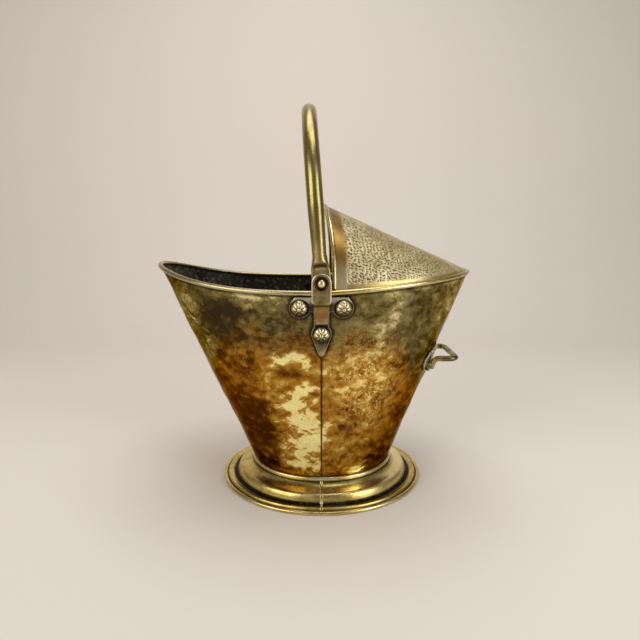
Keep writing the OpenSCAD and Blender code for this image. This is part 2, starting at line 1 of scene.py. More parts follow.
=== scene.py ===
"""Looks of a helmet-shaped coal scuttle of hammered brass, built round its packed model."""

import json
import math
from math import acos, asin, atan2, cos, degrees, hypot, pi, radians, sin, sqrt, tau

import bmesh
import bpy
from bpy.props import FloatProperty, FloatVectorProperty, IntProperty, PointerProperty
from bpy.types import Operator, Panel, PropertyGroup
from mathutils import Matrix, Vector, noise


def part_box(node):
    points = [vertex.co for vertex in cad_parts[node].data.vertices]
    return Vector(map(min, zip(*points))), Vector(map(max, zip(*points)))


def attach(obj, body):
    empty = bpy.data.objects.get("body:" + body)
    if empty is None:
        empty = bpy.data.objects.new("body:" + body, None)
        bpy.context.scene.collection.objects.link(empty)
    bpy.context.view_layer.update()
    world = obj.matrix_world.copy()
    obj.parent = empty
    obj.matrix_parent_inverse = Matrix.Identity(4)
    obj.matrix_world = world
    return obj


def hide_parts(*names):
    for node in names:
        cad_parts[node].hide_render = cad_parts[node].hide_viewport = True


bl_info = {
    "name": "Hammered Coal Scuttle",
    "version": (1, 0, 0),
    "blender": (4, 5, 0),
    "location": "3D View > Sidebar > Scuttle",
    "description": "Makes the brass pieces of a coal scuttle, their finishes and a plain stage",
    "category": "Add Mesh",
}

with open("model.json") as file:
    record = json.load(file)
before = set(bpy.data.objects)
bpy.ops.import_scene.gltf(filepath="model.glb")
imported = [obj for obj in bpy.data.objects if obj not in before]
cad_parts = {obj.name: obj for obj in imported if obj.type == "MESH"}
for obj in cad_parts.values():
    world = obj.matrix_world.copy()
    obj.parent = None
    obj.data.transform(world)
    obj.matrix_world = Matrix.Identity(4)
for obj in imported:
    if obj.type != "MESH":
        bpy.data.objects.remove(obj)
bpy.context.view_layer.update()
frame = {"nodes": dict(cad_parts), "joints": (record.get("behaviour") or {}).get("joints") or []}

MM = 0.001
PIVOT = Vector(frame["joints"][0]["pos_m"])
RIM_LOW, RIM_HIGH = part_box("rim_bead")
HEM_LOW, HEM_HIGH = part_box("hem_bead")
BEAD = 6 * MM
HEM = 5.2 * MM
# Quads of the sheets and of the rolled edges
BODY_GRID = (250, 112)
FOOT_GRID = (180, 64)
HOOD_GRID = (130, 208)
RING_STEPS = 300
ROLL_SIDES = 16
# Steps in which the hood's girth is measured from the arch to the tail
GIRTHS = 40
# Heights between which the body's painted reflection turns from olive, of dim surroundings
# above, to amber, of warm light from below
COOL_ABOVE, WARM_BELOW = 225 * MM, 174 * MM
# Calmer places under the plates: height of the middle, half width and half height
EAR_CALM = (242 * MM, 36 * MM, 46 * MM)
REAR_CALM = (160 * MM, 48 * MM, 36 * MM)


# Sizes and colours

def distance(name, about, value):
    return FloatProperty(name=name, description=about, default=value, min=0, precision=4,
                         subtype="DISTANCE", unit="LENGTH")


def ratio(name, about, value, top=1):
    return FloatProperty(name=name, description=about, default=value, min=0, max=top,
                         subtype="FACTOR")


def turn(name, about, value):
    return FloatProperty(name=name, description=about, default=radians(value), subtype="ANGLE")


def count(name, about, value, low):
    return IntProperty(name=name, description=about, default=value, min=low)


def tint(name, about, value):
    return FloatVectorProperty(name=name, description=about, default=value, min=0, max=1, size=3,
                               subtype="COLOR")


class ScuttleBodySizes(PropertyGroup):
    """The wall of the body and what runs round it"""
    mouth_len: distance("Mouth length", "From the pivots forward to the bead at the lip",
                        PIVOT.x - RIM_LOW.x - BEAD / 2)
    back_len: distance("Back length", "From the pivots back to the bead at the tail",
                       RIM_HIGH.x - PIVOT.x - BEAD / 2)
    rim_w: distance("Rim width", "Across the rim, middle to middle of its bead",
                    RIM_HIGH.y - RIM_LOW.y - BEAD)
    narrow: ratio("Narrowing", "How much the rim's oval narrows towards its ends", 0.09)
    rim_h: distance("Rim height", "Height of the bead's middle at the pivots", PIVOT.z - 12 * MM)
    lip_rise: distance("Lip rise", "How far the rim rises at the lip", 26 * MM)
    lip_curve: ratio("Lip curve", "How late that rise comes", 3, 5)
    back_rise: distance("Back rise", "How far the rim rises at the tail", 16.5 * MM)
    back_curve: ratio("Back curve", "How late that rise comes", 1.3, 5)
    bead: distance("Bead", "Thickness across the rolled rim", BEAD)
    sheet: distance("Sheet", "Thickness of the body's sheet", 1.2 * MM)
    seat: distance("Seat", "Gap between soldered or riveted faces", 0.2 * MM)
    seam: distance("Seam", "Gap between the two sheets at each side seam", 0.5 * MM)
    waist_len: distance("Waist length", "Length of the body at the waist", 186 * MM)
    waist_w: distance("Waist width", "Width of the body at the waist", 163 * MM)
    waist_h: distance("Waist height", "Height of the waist", 28 * MM)
    band_h: distance("Band height", "Height of the half-round band at the waist", 6.4 * MM)
    band_out: distance("Band depth", "How far that band stands out", 3 * MM)


class ScuttleHammering(PropertyGroup):
    """The hammer marks of the body"""
    swell: distance("Swell", "Height of the broad waves in the sheet", 1.5 * MM)
    swell_len: distance("Swell length", "Distance between two broad waves", 55 * MM)
    dish: distance("Dish", "Depth of one hammer mark", 0.34 * MM)
    dish_len: distance("Dish length", "Distance between two hammer marks", 12 * MM)
    calm: distance("Calm border", "Width of the flatter border along edges and plates", 9 * MM)
    dent_ahead: distance("Dent place", "How far ahead of the near pivot the one deep dent lies",
                         78 * MM)
    dent_h: distance("Dent height", "Height of that dent", 243 * MM)
    dent_r: distance("Dent radius", "Radius of its raised rim", 8 * MM)
    dent_depth: distance("Dent depth", "Depth of that dent", 0.6 * MM)


class ScuttleFootSizes(PropertyGroup):
    """The moulded foot and its rolled hem"""
    foot_len: distance("Foot length", "Length over the hem", HEM_HIGH.x - HEM_LOW.x)
    foot_w: distance("Foot width", "Width over the hem", HEM_HIGH.y - HEM_LOW.y)
    hem: distance("Hem", "Thickness across the rolled hem", HEM)
    foot_sheet: distance("Foot sheet", "Thickness of the foot's sheet", 1 * MM)


class ScuttleHoodSizes(PropertyGroup):
    """The half hood, its punched marks and its rolled arch"""
    arch_back: distance("Arch back", "How far behind the pivots the arch starts", 16 * MM)
    arch_lean: distance("Arch lean", "How far the arch's top leans forward", 10 * MM)
    arch_h: distance("Arch height", "Height of the arch's top", 366.5 * MM)
    arch_bead: distance("Arch bead", "Thickness across the rolled edge of the arch", 5.2 * MM)
    hood_sheet: distance("Hood sheet", "Thickness of the hood's sheet", 1 * MM)
    mark: distance("Mark", "Distance between two punch marks", 3.0 * MM)
    mark_depth: distance("Mark depth", "Depth of a punch mark", 0.6 * MM)
    arch_margin: distance("Arch margin", "Width of the smooth band along the arch", 9.5 * MM)
    rim_margin: distance("Rim margin", "Width of the smooth band along the rim", 11.5 * MM)


class ScuttleBailSizes(PropertyGroup):
    """The swinging handle"""
    reach: distance("Reach", "From the pivots to the middle of the grip", 201.5 * MM)
    tilt: turn("Tilt", "How far the bail stands off the vertical, towards the mouth", 4.4)
    across: distance("Half spread", "From the middle plane to the middle of a leg", 128.3 * MM)
    grip: distance("Grip", "Thickness of the grip", 17.5 * MM)
    leg: distance("Leg", "Thickness of a leg above its eye", 14.5 * MM)
    eye: distance("Eye", "Width of the flattened eyes", 20.6 * MM)
    eye_t: distance("Eye thickness", "Thickness of the flattened eyes", 5 * MM)
    shoulder: distance("Shoulder", "Height above the pivot at which the round leg starts", 21 * MM)
    bore: distance("Bore", "Width of the hole in each eye", 8.2 * MM)


class ScuttleEarSizes(PropertyGroup):
    """The ear plates with their rosettes and pivots"""
    plate_t: distance("Plate", "Thickness of the cast plates", 2.6 * MM)
    span: distance("Rosette span", "Between the two upper rosettes", 47.4 * MM)
    drop: distance("Rosette drop", "From the rim's bead down to the upper rosettes", 15.6 * MM)
    lobe: distance("Lobe", "Radius of the two upper lobes", 11.9 * MM)
    low_drop: distance("Lower drop", "From there down to the lower rosette", 30 * MM)
    low_lobe: distance("Lower lobe", "Radius of the lower lobe", 11.3 * MM)
    tip_drop: distance("Tip drop", "From there down to the tip", 26.5 * MM)
    rosette: distance("Rosette", "Width of a rosette", 20.2 * MM)
    rosette_h: distance("Rosette height", "How far a rosette stands off its plate", 7.8 * MM)
    petals: count("Petals", "Petals on a rosette", 8, 3)
    rivet: distance("Rivet", "Thickness of the rivets' shanks", 4.6 * MM)
    tongue_in: distance("Tongue", "From the middle plane to the inside of a tongue", 131.1 * MM)
    tongue_t: distance("Tongue thickness", "Thickness of the tongues", 3.2 * MM)
    tongue_w: distance("Tongue width", "Width of the tongues", 21.6 * MM)
    tongue_corner: distance("Tongue corner", "Radius of the tongues' lower corners", 5 * MM)
    stem_w: distance("Stem width", "Width of the cranked stems below the tongues", 17.4 * MM)
    stem_low: distance("Stem foot", "Width of the stems at their feet", 14.6 * MM)
    crank: distance("Crank", "Height of the crank", 20 * MM)
    pin: distance("Pin", "Thickness of the pivot pins", 8 * MM)
    pin_head: distance("Pin head", "Width of the pivot pins' heads", 17 * MM)


class ScuttleRearSizes(PropertyGroup):
    """The rear loop and its plate"""
    loop_h: distance("Loop height", "Height of the loop", 172 * MM)
    loop_w: distance("Loop width", "Width of the loop, middle to middle of its arms", 72 * MM)
    loop_back: distance("Loop back", "How far the grip lies behind the pivots", 176 * MM)
    rod: distance("Rod", "Thickness of the loop's rod", 7.4 * MM)
    corner: distance("Corner", "Radius of the loop's corners", 10 * MM)
    pad_h: distance("Foot height", "Height of the loop's round feet", 162.5 * MM)
    pad: distance("Foot", "Width of the loop's round feet", 12 * MM)
    pad_t: distance("Foot thickness", "Thickness of those feet", 3 * MM)
    plate_h: distance("Plate height", "Height of the plate's side lobes", 172 * MM)
    lobe: distance("Lobe", "Radius of those lobes", 16 * MM)
    inset: distance("Inset", "How far the lobes lie inside the arms", 4 * MM)
    low_drop: distance("Lower drop", "From there down to the lower lobe", 22 * MM)
    low_lobe: distance("Lower lobe", "Radius of the lower lobe", 11 * MM)
    tip_drop: distance("Tip drop", "From there down to the tip", 22 * MM)


class ScuttleColours(PropertyGroup):
    """The colours of the brass, from polished to sooty, and of the light, shade, highlights and
    reflections painted on it
    """
    # Glint, corn, spark and toffee colour the body's painted highlights, and copper its painted
    # orange reflection specks
    glint: tint("Glint", "Freshly rubbed highlights", (1.0, 0.86, 0.32))
    pale: tint("Pale", "Pale worn brass", (0.73, 0.64, 0.38))
    gold: tint("Gold", "Clean brass", (0.56, 0.41, 0.12))
    copper: tint("Copper", "Orange rubbed spots", (0.90, 0.52, 0.15))
    # Amber and olive are painted reflections on the body: amber of warm light from below, olive of
    # dimmer surroundings above
    amber: tint("Amber", "Warm lacquered brass of the lower body", (0.37, 0.165, 0.014))
    olive: tint("Olive", "Dull greenish brass of the upper body", (0.165, 0.122, 0.040))
    umber: tint("Umber", "Brown tarnish", (0.095, 0.036, 0.005))
    # The next colour darkens dirt and painted shade: under beads, in channels, grooves and cups,
    # and round the plates
    grime: tint("Grime", "Dark dirt in corners", (0.016, 0.012, 0.006))
    soot: tint("Soot", "Coal dust inside", (0.015, 0.013, 0.010))
    ash: tint("Ash", "Grey specks inside", (0.15, 0.15, 0.12))
    khaki: tint("Khaki", "Matt brass of the punched hood", (0.56, 0.45, 0.21))
    moss: tint("Moss", "Greenish gold of the handles", (0.36, 0.295, 0.10))
    steel: tint("Steel", "Iron wire", (0.16, 0.15, 0.14))
    # From here to reed, the steps of the body's tone: the hollows are painted shade, half lit and
    # lit painted light, corn and spark painted highlights
    ember: tint("Ember", "Deepest hollows of the lower body", (0.07, 0.022, 0.003))
    sienna: tint("Sienna", "Hollows of the lower body", (0.14, 0.046, 0.005))
    honey: tint("Honey", "Lower body, half lit", (0.47, 0.27, 0.045))
    straw: tint("Straw", "Lower body, lit", (0.66, 0.45, 0.12))
    corn: tint("Corn", "Edges of the rubbed highlights", (0.90, 0.72, 0.27))
    spark: tint("Spark", "Middles of the rubbed highlights", (1.0, 0.92, 0.42))
    bog: tint("Bog", "Deepest hollows of the upper body", (0.04, 0.03, 0.012))
    peat: tint("Peat", "Hollows of the upper body", (0.07, 0.052, 0.016))
    sage: tint("Sage", "Upper body, half lit", (0.24, 0.195, 0.075))
    reed: tint("Reed", "Upper body, lit", (0.38, 0.33, 0.13))
    toffee: tint("Toffee", "Fine lines in the rubbed highlights", (0.60, 0.38, 0.07))
    rust: tint("Rust", "Reddish tarnish of the lower body", (0.20, 0.075, 0.007))
    cinder: tint("Cinder", "Paler coal dust inside", (0.036, 0.032, 0.022))
    drab: tint("Drab", "Dulled rim", (0.42, 0.37, 0.21))
    butter: tint("Butter", "Worn brass of the foot", (0.72, 0.57, 0.22))
    bronze: tint("Bronze", "Browner clouds on the foot", (0.36, 0.25, 0.05))
    # Cream colours a painted highlight on the top of the foot's step
    cream: tint("Cream", "Polish on the foot's step", (0.88, 0.76, 0.40))
    tan: tint("Tan", "Tarnish of the hood", (0.32, 0.20, 0.07))
    # Walnut browns the band along the arch above its lower ends, which take a painted reflection
    walnut: tint("Walnut", "Lower ends of the band along the arch", (0.29, 0.17, 0.04))
    pitch: tint("Pitch", "Bottoms of the punch marks", (0.07, 0.045, 0.015))
    fern: tint("Fern", "Cast plates, darker clouds", (0.20, 0.155, 0.06))
    lichen: tint("Lichen", "Cast plates, paler clouds", (0.42, 0.34, 0.16))
    slate: tint("Slate", "Tarnished lobes of the plates, darker clouds", (0.02, 0.018, 0.011))
    shale: tint("Shale", "Tarnished lobes of the plates, paler clouds", (0.085, 0.072, 0.042))
    # Worn also colours a painted highlight along the tops of the plates and the tongues' edges
    worn: tint("Worn", "Worn edges of the plates", (0.68, 0.65, 0.50))
    fox: tint("Fox", "Red-brown of the stems' creases", (0.33, 0.15, 0.03))
    petal: tint("Petal", "Tops of the rosettes", (0.82, 0.74, 0.48))
    hazel: tint("Hazel", "Darker clouds on the handles", (0.19, 0.14, 0.042))
    sheen: tint("Sheen", "Tint of the body's reflections", (0.60, 0.48, 0.32))


class ScuttleStage(PropertyGroup):
    """The plain stage and its light"""
    floor: tint("Floor", "Colour of the floor and backdrop", (0.84, 0.78, 0.71))
    fibre: tint("Fibre", "Darker clouds on the floor", (0.76, 0.70, 0.63))
    air: tint("Air", "Colour of the light from all round", (0.36, 0.33, 0.29))
    air_power: ratio("Air light", "Strength of the light from all round", 0.6)
    wall_back: distance("Wall", "How far behind the scuttle the backdrop rises", 1500 * MM)
    camera_back: distance("Camera distance", "How far ahead of the origin the camera stands",
                          643 * MM)
    camera_h: distance("Camera height", "Height of the camera", 330 * MM)
    camera_x: distance("Camera side", "How far the camera stands to the right", 11.5 * MM)
    pitch: turn("Camera pitch", "How far the camera looks down", 10.0268)
    yaw: turn("Camera yaw", "How far the camera turns to the left", 0.2865)
    lens: FloatProperty(name="Lens", description="Focal length", default=27.06, min=1,
                        unit="CAMERA")


SIZE_GROUPS = {
    "scuttle_body": ScuttleBodySizes,
    "scuttle_hammering": ScuttleHammering,
    "scuttle_foot": ScuttleFootSizes,
    "scuttle_hood": ScuttleHoodSizes,
    "scuttle_bail": ScuttleBailSizes,
    "scuttle_ears": ScuttleEarSizes,
    "scuttle_rear": ScuttleRearSizes,
    "scuttle_colours": ScuttleColours,
    "scuttle_stage": ScuttleStage,
}


class Sizes:
    """Plain copies of a group's values, which are quick to read in loops."""

    def __init__(self, name):
        group = getattr(bpy.context.scene, name)
        for key in SIZE_GROUPS[name].__annotations__:
            value = getattr(group, key)
            setattr(self, key, value if isinstance(value, (int, float)) else tuple(value))


# Geometry of the wall

def mix(a, b, k):
    return a + (b - a) * k


def ease(low, high, x):
    """0 below low, 1 above high, and a smooth step between them; low may be the larger."""
    k = min(max((x - low) / (high - low), 0), 1)
    return k * k * (3 - 2 * k)


def stand(point, direction):
    """The turn and move that stand +Z along a direction on a point."""
    turned = Matrix.Rotation(atan2(direction.y, direction.x), 4, "Z")
    return Matrix.Translation(point) @ turned @ Matrix.Rotation(acos(direction.z), 4, "Y")


class Wall(Sizes):
    """The body's middle surface: straight lines from the waist's oval up to the rim.

    An angle round it is 0 at the back, a quarter turn at +Y and half a turn at the mouth. Its x
    counts from the pivots, and off is a distance outwards from it.
    """

    def __init__(self):
        super().__init__("scuttle_body")
        self.plate_in = self.sheet / 2 + self.seat

    def rim_z(self, x):
        if x < 0:
            return self.rim_h + self.lip_rise * (-x / self.mouth_len) ** self.lip_curve
        return self.rim_h + self.back_rise * (x / self.back_len) ** self.back_curve

    def reach(self, x):
        """How far the rim reaches from the pivots, ahead of them if x is below 0, else behind."""
        return self.mouth_len if x < 0 else self.back_len

    def rim(self, t):
        x = self.reach(cos(t)) * cos(t)
        y = self.rim_w / 2 * sin(t) * (1 - self.narrow * cos(t) ** 2)
        return Vector((x, y, self.rim_z(x)))

    def waist(self, t):
        return Vector((self.waist_len / 2 * cos(t), self.waist_w / 2 * sin(t), self.waist_h))

    def up(self, t):
        return (self.rim(t) - self.waist(t)).normalized()

    def middle(self, t, f):
        return self.waist(t).lerp(self.rim(t), f)

    def out(self, t, f):
        step = radians(1)
        return (self.middle(t + step, f) - self.middle(t - step, f)).cross(self.up(t)).normalized()

    def at(self, t, f, off):
        return self.middle(t, f) + self.out(t, f) * off

    def share(self, z, t):
        return (z - self.waist_h) / (self.rim(t).z - self.waist_h)

    def share_below_rim(self, d, t):
        return 1 - d / (self.rim(t) - self.waist(t)).length

    def angle_at_x(self, x, f):
        length = mix(self.waist_len / 2, self.reach(x), f)
        return acos(x / length)

    def angle_at_y(self, y, f):
        return asin(y / mix(self.waist_w / 2, self.rim_w / 2 * (1 - self.narrow), f))

    def on_side(self, side, x, z, off):
        """The point off the wall at a distance x behind the pivots and a height z."""
        f = self.share(z, pi / 2)
        t = side * self.angle_at_x(x, f)
        return self.at(t, self.share(z, t), off)

    def on_back(self, y, z, off):
        """The point off the wall's back at a distance y to the side and a height z."""
        f = self.share(z, 0)
        t = self.angle_at_y(y, f)
        return self.at(t, self.share(z, t), off)

    def standing(self, t, z):
        f = self.share(z, t)
        return stand(self.middle(t, f), self.out(t, f))


# Making meshes

def patch(columns, rows, place, joined=False):
    """A sheet of quads whose points go where place(u, v) says, with u and v from 0 to 1."""
    bm = bmesh.new()
    bmesh.ops.create_grid(bm, x_segments=columns, y_segments=rows, size=0.5)
    for v in bm.verts:
        v.co = place(v.co.x + 0.5, v.co.y + 0.5)
    if joined:
        bmesh.ops.remove_doubles(bm, verts=bm.verts, dist=1e-6)
    bm.normal_update()
    return bm


def tube(columns, rows, place):
    """A tube with closed ends, whose u runs round it and whose v runs along it."""
    bm = patch(columns, rows, place, joined=True)
    rims = [e for e in bm.edges if e.is_boundary]
    bmesh.ops.holes_fill(bm, edges=rims, sides=0)
    return bm


def face_outwards(bm, away):
    """Turns an open sheet's faces so that they point the way that away(centre) does."""
    lean = sum(f.normal.dot(away(f.calc_center_median())) for f in bm.faces)
    if lean < 0:
        bmesh.ops.reverse_faces(bm, faces=bm.faces)
    bm.normal_update()


def thicken(bm, thickness, away):
    """Gives an outer sheet its wall, inwards, and marks the inner face's points in "inside"."""
    face_outwards(bm, away)
    outer = len(bm.verts)
    bmesh.ops.solidify(bm, geom=bm.faces[:], thickness=thickness)
    inside = layer(bm, "inside")
    for i, v in enumerate(bm.verts):
        v[inside] = 1 if i >= outer else 0


def layer(bm, name):
    return bm.verts.layers.float.get(name) or bm.verts.layers.float.new(name)


def layers(bm, *names):
    """Layers of these names, all made before any is looked up: making one moves the others."""
    for name in names:
        layer(bm, name)
    return [layer(bm, name) for name in names]


def paint(bm, name, value):
    """Stores value(point) on every vertex, for a material to read."""
    mark = layer(bm, name)
    for v in bm.verts:
        v[mark] = value(v.co)


def superellipse(angle, wide, thick, power):
    """A point on a rounded section: power 2 is an oval, and more is squarer."""
    c, s = cos(angle), sin(angle)
    return (wide * math.copysign(abs(c) ** (2 / power), c),
            thick * math.copysign(abs(s) ** (2 / power), s))


def round_section(path, i, radius):
    """Two directions square to a path at its point i, as long as a radius."""
    run = (path[min(i + 1, len(path) - 1)] - path[max(i - 1, 0)]).normalized()
    side = Vector((-run.y, run.x, 0)).normalized()
    return side * radius, run.cross(side) * radius


def rod(path, radius, sides):
    """A round rod along a list of points."""
    last = len(path) - 1

    def place(u, v):
        i = round(v * last)
        a, b = round_section(path, i, radius)
        return path[i] + a * cos(tau * u) + b * sin(tau * u)

    return tube(sides, last, place)


def turned(outline, steps):
    """A turned piece about +Z, from its outline of (radius, height) points."""
    bm = bmesh.new()
    line = [bm.verts.new((r, 0, z)) for r, z in outline]
    edges = [bm.edges.new(pair) for pair in zip(line, line[1:])]
    bmesh.ops.spin(bm, geom=line + edges, angle=tau, steps=steps, axis=(0, 0, 1), use_merge=True)
    bmesh.ops.remove_doubles(bm, verts=bm.verts, dist=1e-6)
    bmesh.ops.recalc_face_normals(bm, faces=bm.faces)
    return bm


def arc(x, y, radius, start, end, steps):
    """Points on an arc, with its angles in degrees."""
    angles = [radians(mix(start, end, i / steps)) for i in range(steps + 1)]
    return [(x + radius * cos(a), y + radius * sin(a)) for a in angles]


def dome_line(width, height, base, steps=8):
    """Outline of a ball's cap, from its rim at a base height to its top."""
    radius = (width * width / 4 + height * height) / (2 * height)
    rim = degrees(asin(width / 2 / radius))
    return arc(0, base + height - radius, radius, 90 - rim, 90, steps)


def as_mesh(name, bm):
    """Turns a bmesh into a mesh and frees it."""
    mesh = bpy.data.meshes.new(name)
    bm.to_mesh(mesh)
    bm.free()
    return mesh


def link(name, data):
    """A new object in the scene."""
    made = bpy.data.objects.new(name, data)
    bpy.context.scene.collection.objects.link(made)
    return made


def clenched(width, height):
    """Outline of a shank's end, hammered out a little wider than the shank, from its tip up."""
    return [(r, height - z) for r, z in reversed(dome_line(width + 3 * MM, 2 * MM, 0))]


def put(target, bm, matrix=None):
    """Adds a mesh to another, moved by a matrix."""
    if matrix:
        bmesh.ops.transform(bm, matrix=matrix, verts=bm.verts)
    mesh = as_mesh("part", bm)
    target.from_mesh(mesh)
    bpy.data.meshes.remove(mesh)


def piece(name, bm, nodes, finish, body="scuttle", sharp=40):
    """Makes a mesh a piece of the scuttle: it stands for CAD nodes and rides on their body.

    Its edges are sharp above an angle in degrees.
    """
    bmesh.ops.translate(bm, vec=(PIVOT.x, 0, 0), verts=bm.verts)
    if bm.calc_volume(signed=True) < 0:
        bmesh.ops.reverse_faces(bm, faces=bm.faces)
    mesh = as_mesh(name, bm)
    mesh.shade_smooth()
    mesh.set_sharp_from_angle(angle=radians(sharp))
    mesh.materials.append(finish())
    made = link(name, mesh)
    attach(made, body)
    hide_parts(*nodes)
    return made


# Shader maths

def maths(operation):
    """A method of Field that adds one Math node."""
    def method(self, *others):
        values = dict(enumerate((self, *others)))
        return self.nodes.add("ShaderNodeMath", {"operation": operation}, values)

    return method


class Field:
    """A socket of a material's nodes. Arithmetic on it adds Math nodes."""

    def __init__(self, nodes, socket):
        self.nodes = nodes
        self.socket = socket

    __add__ = __radd__ = maths("ADD")
    __mul__ = __rmul__ = maths("MULTIPLY")
    __sub__ = maths("SUBTRACT")
    __abs__ = maths("ABSOLUTE")
    smaller = maths("MINIMUM")
    fract = maths("FRACT")
    pingpong = maths("PINGPONG")

    def __rsub__(self, other):
        return self.nodes.add("ShaderNodeMath", {"operation": "SUBTRACT"}, {0: other, 1: self})

    def step(self, low, high):
        """0 below low, 1 above high, smooth between; low may be the larger."""
        values = {"Value": self, "From Min": low, "From Max": high}
        return self.nodes.add("ShaderNodeMapRange", {"interpolation_type": "SMOOTHSTEP"}, values)


class Nodes:
    """The nodes of one material."""

    def __init__(self, name):
        self.material = bpy.data.materials.new(name)
        self.material.use_nodes = True
        self.tree = self.material.node_tree
        self.shader = self.tree.nodes["Principled BSDF"]
        self.point = self.add("ShaderNodeTexCoord", out="Object")

    def add(self, kind, settings=None, values=None, out=0):
        node = self.tree.nodes.new(kind)
        for key, setting in (settings or {}).items():
            if key == "stops":
                self.set_stops(node.color_ramp, setting)
            else:
                setattr(node, key, setting)
        for key, value in (values or {}).items():
            self.feed(node.inputs[key], value)
        return Field(self, node.outputs[out])

    def set_stops(self, ramp, stops):
        while len(ramp.elements) < len(stops):
            ramp.elements.new(0.5)
        for element, (place, colour) in zip(ramp.elements, stops):
            element.position = place
            element.color = (*colour, 1)

    def feed(self, socket, value):
        if isinstance(value, Field):
            self.tree.links.new(value.socket, socket)
        elif isinstance(value, tuple) and socket.type == "RGBA":
            socket.default_value = (*value, 1)
        else:
            socket.default_value = value

    def layer(self, name):
        return self.add("ShaderNodeAttribute", {"attribute_name": name}, out="Fac")

    def axes(self):
        parts = self.add("ShaderNodeSeparateXYZ", values={"Vector": self.point}).socket.node
        return [Field(self, parts.outputs[i]) for i in range(3)]

    def noise(self, size, detail=2, rough=0.5, stretch=(1, 1, 1), warp=0, shift=(0, 0, 0)):
        """Noise whose waves are about a size long, from 0 to 1."""
        placing = {"Vector": self.point, "Scale": stretch, "Location": shift}
        place = self.add("ShaderNodeMapping", values=placing)
        values = {"Vector": place, "Scale": 1 / size, "Detail": detail, "Roughness": rough,
                  "Distortion": warp}
        return self.add("ShaderNodeTexNoise", values=values, out="Fac")

    def cells(self, size):
        """Smoothed distance to the nearest of some scattered points, about a size apart."""
        values = {"Vector": self.point, "Scale": 1 / size}
        return self.add("ShaderNodeTexVoronoi", {"feature": "SMOOTH_F1"}, values, out="Distance")

    def blend(self, share, a, b):
        """The colour a, or b where the share is 1."""
        values = {"Factor": share, 6: a, 7: b}
        return self.add("ShaderNodeMix", {"data_type": "RGBA"}, values, out=2)

    def ramp(self, share, stops):
        return self.add("ShaderNodeValToRGB", {"stops": stops}, {"Fac": share})

    def bump(self, height, depth, strength=1.0, under=None):
        values = {"Height": height, "Distance": depth, "Strength": strength}
        if under:
            values["Normal"] = under
        return self.add("ShaderNodeBump", values=values, out="Normal")

    def finish(self, colour, rough, normal=None, metal=1.0):
        """Feeds the shader and gives back the material."""
        self.feed(self.shader.inputs["Base Color"], colour)
        self.feed(self.shader.inputs["Roughness"], rough)
        self.feed(self.shader.inputs["Metallic"], metal)
        if normal:
            self.feed(self.shader.inputs["Normal"], normal)
        return self.material


def once(make):
    """A finish is made on its first use, from empty nodes and the colours, and then shared."""
    made = []

    def give():
        if not made:
            made.append(make(Nodes(make.__name__), Sizes("scuttle_colours")))
        return made[0]

    give.__name__ = make.__name__
    return give


# Finishes

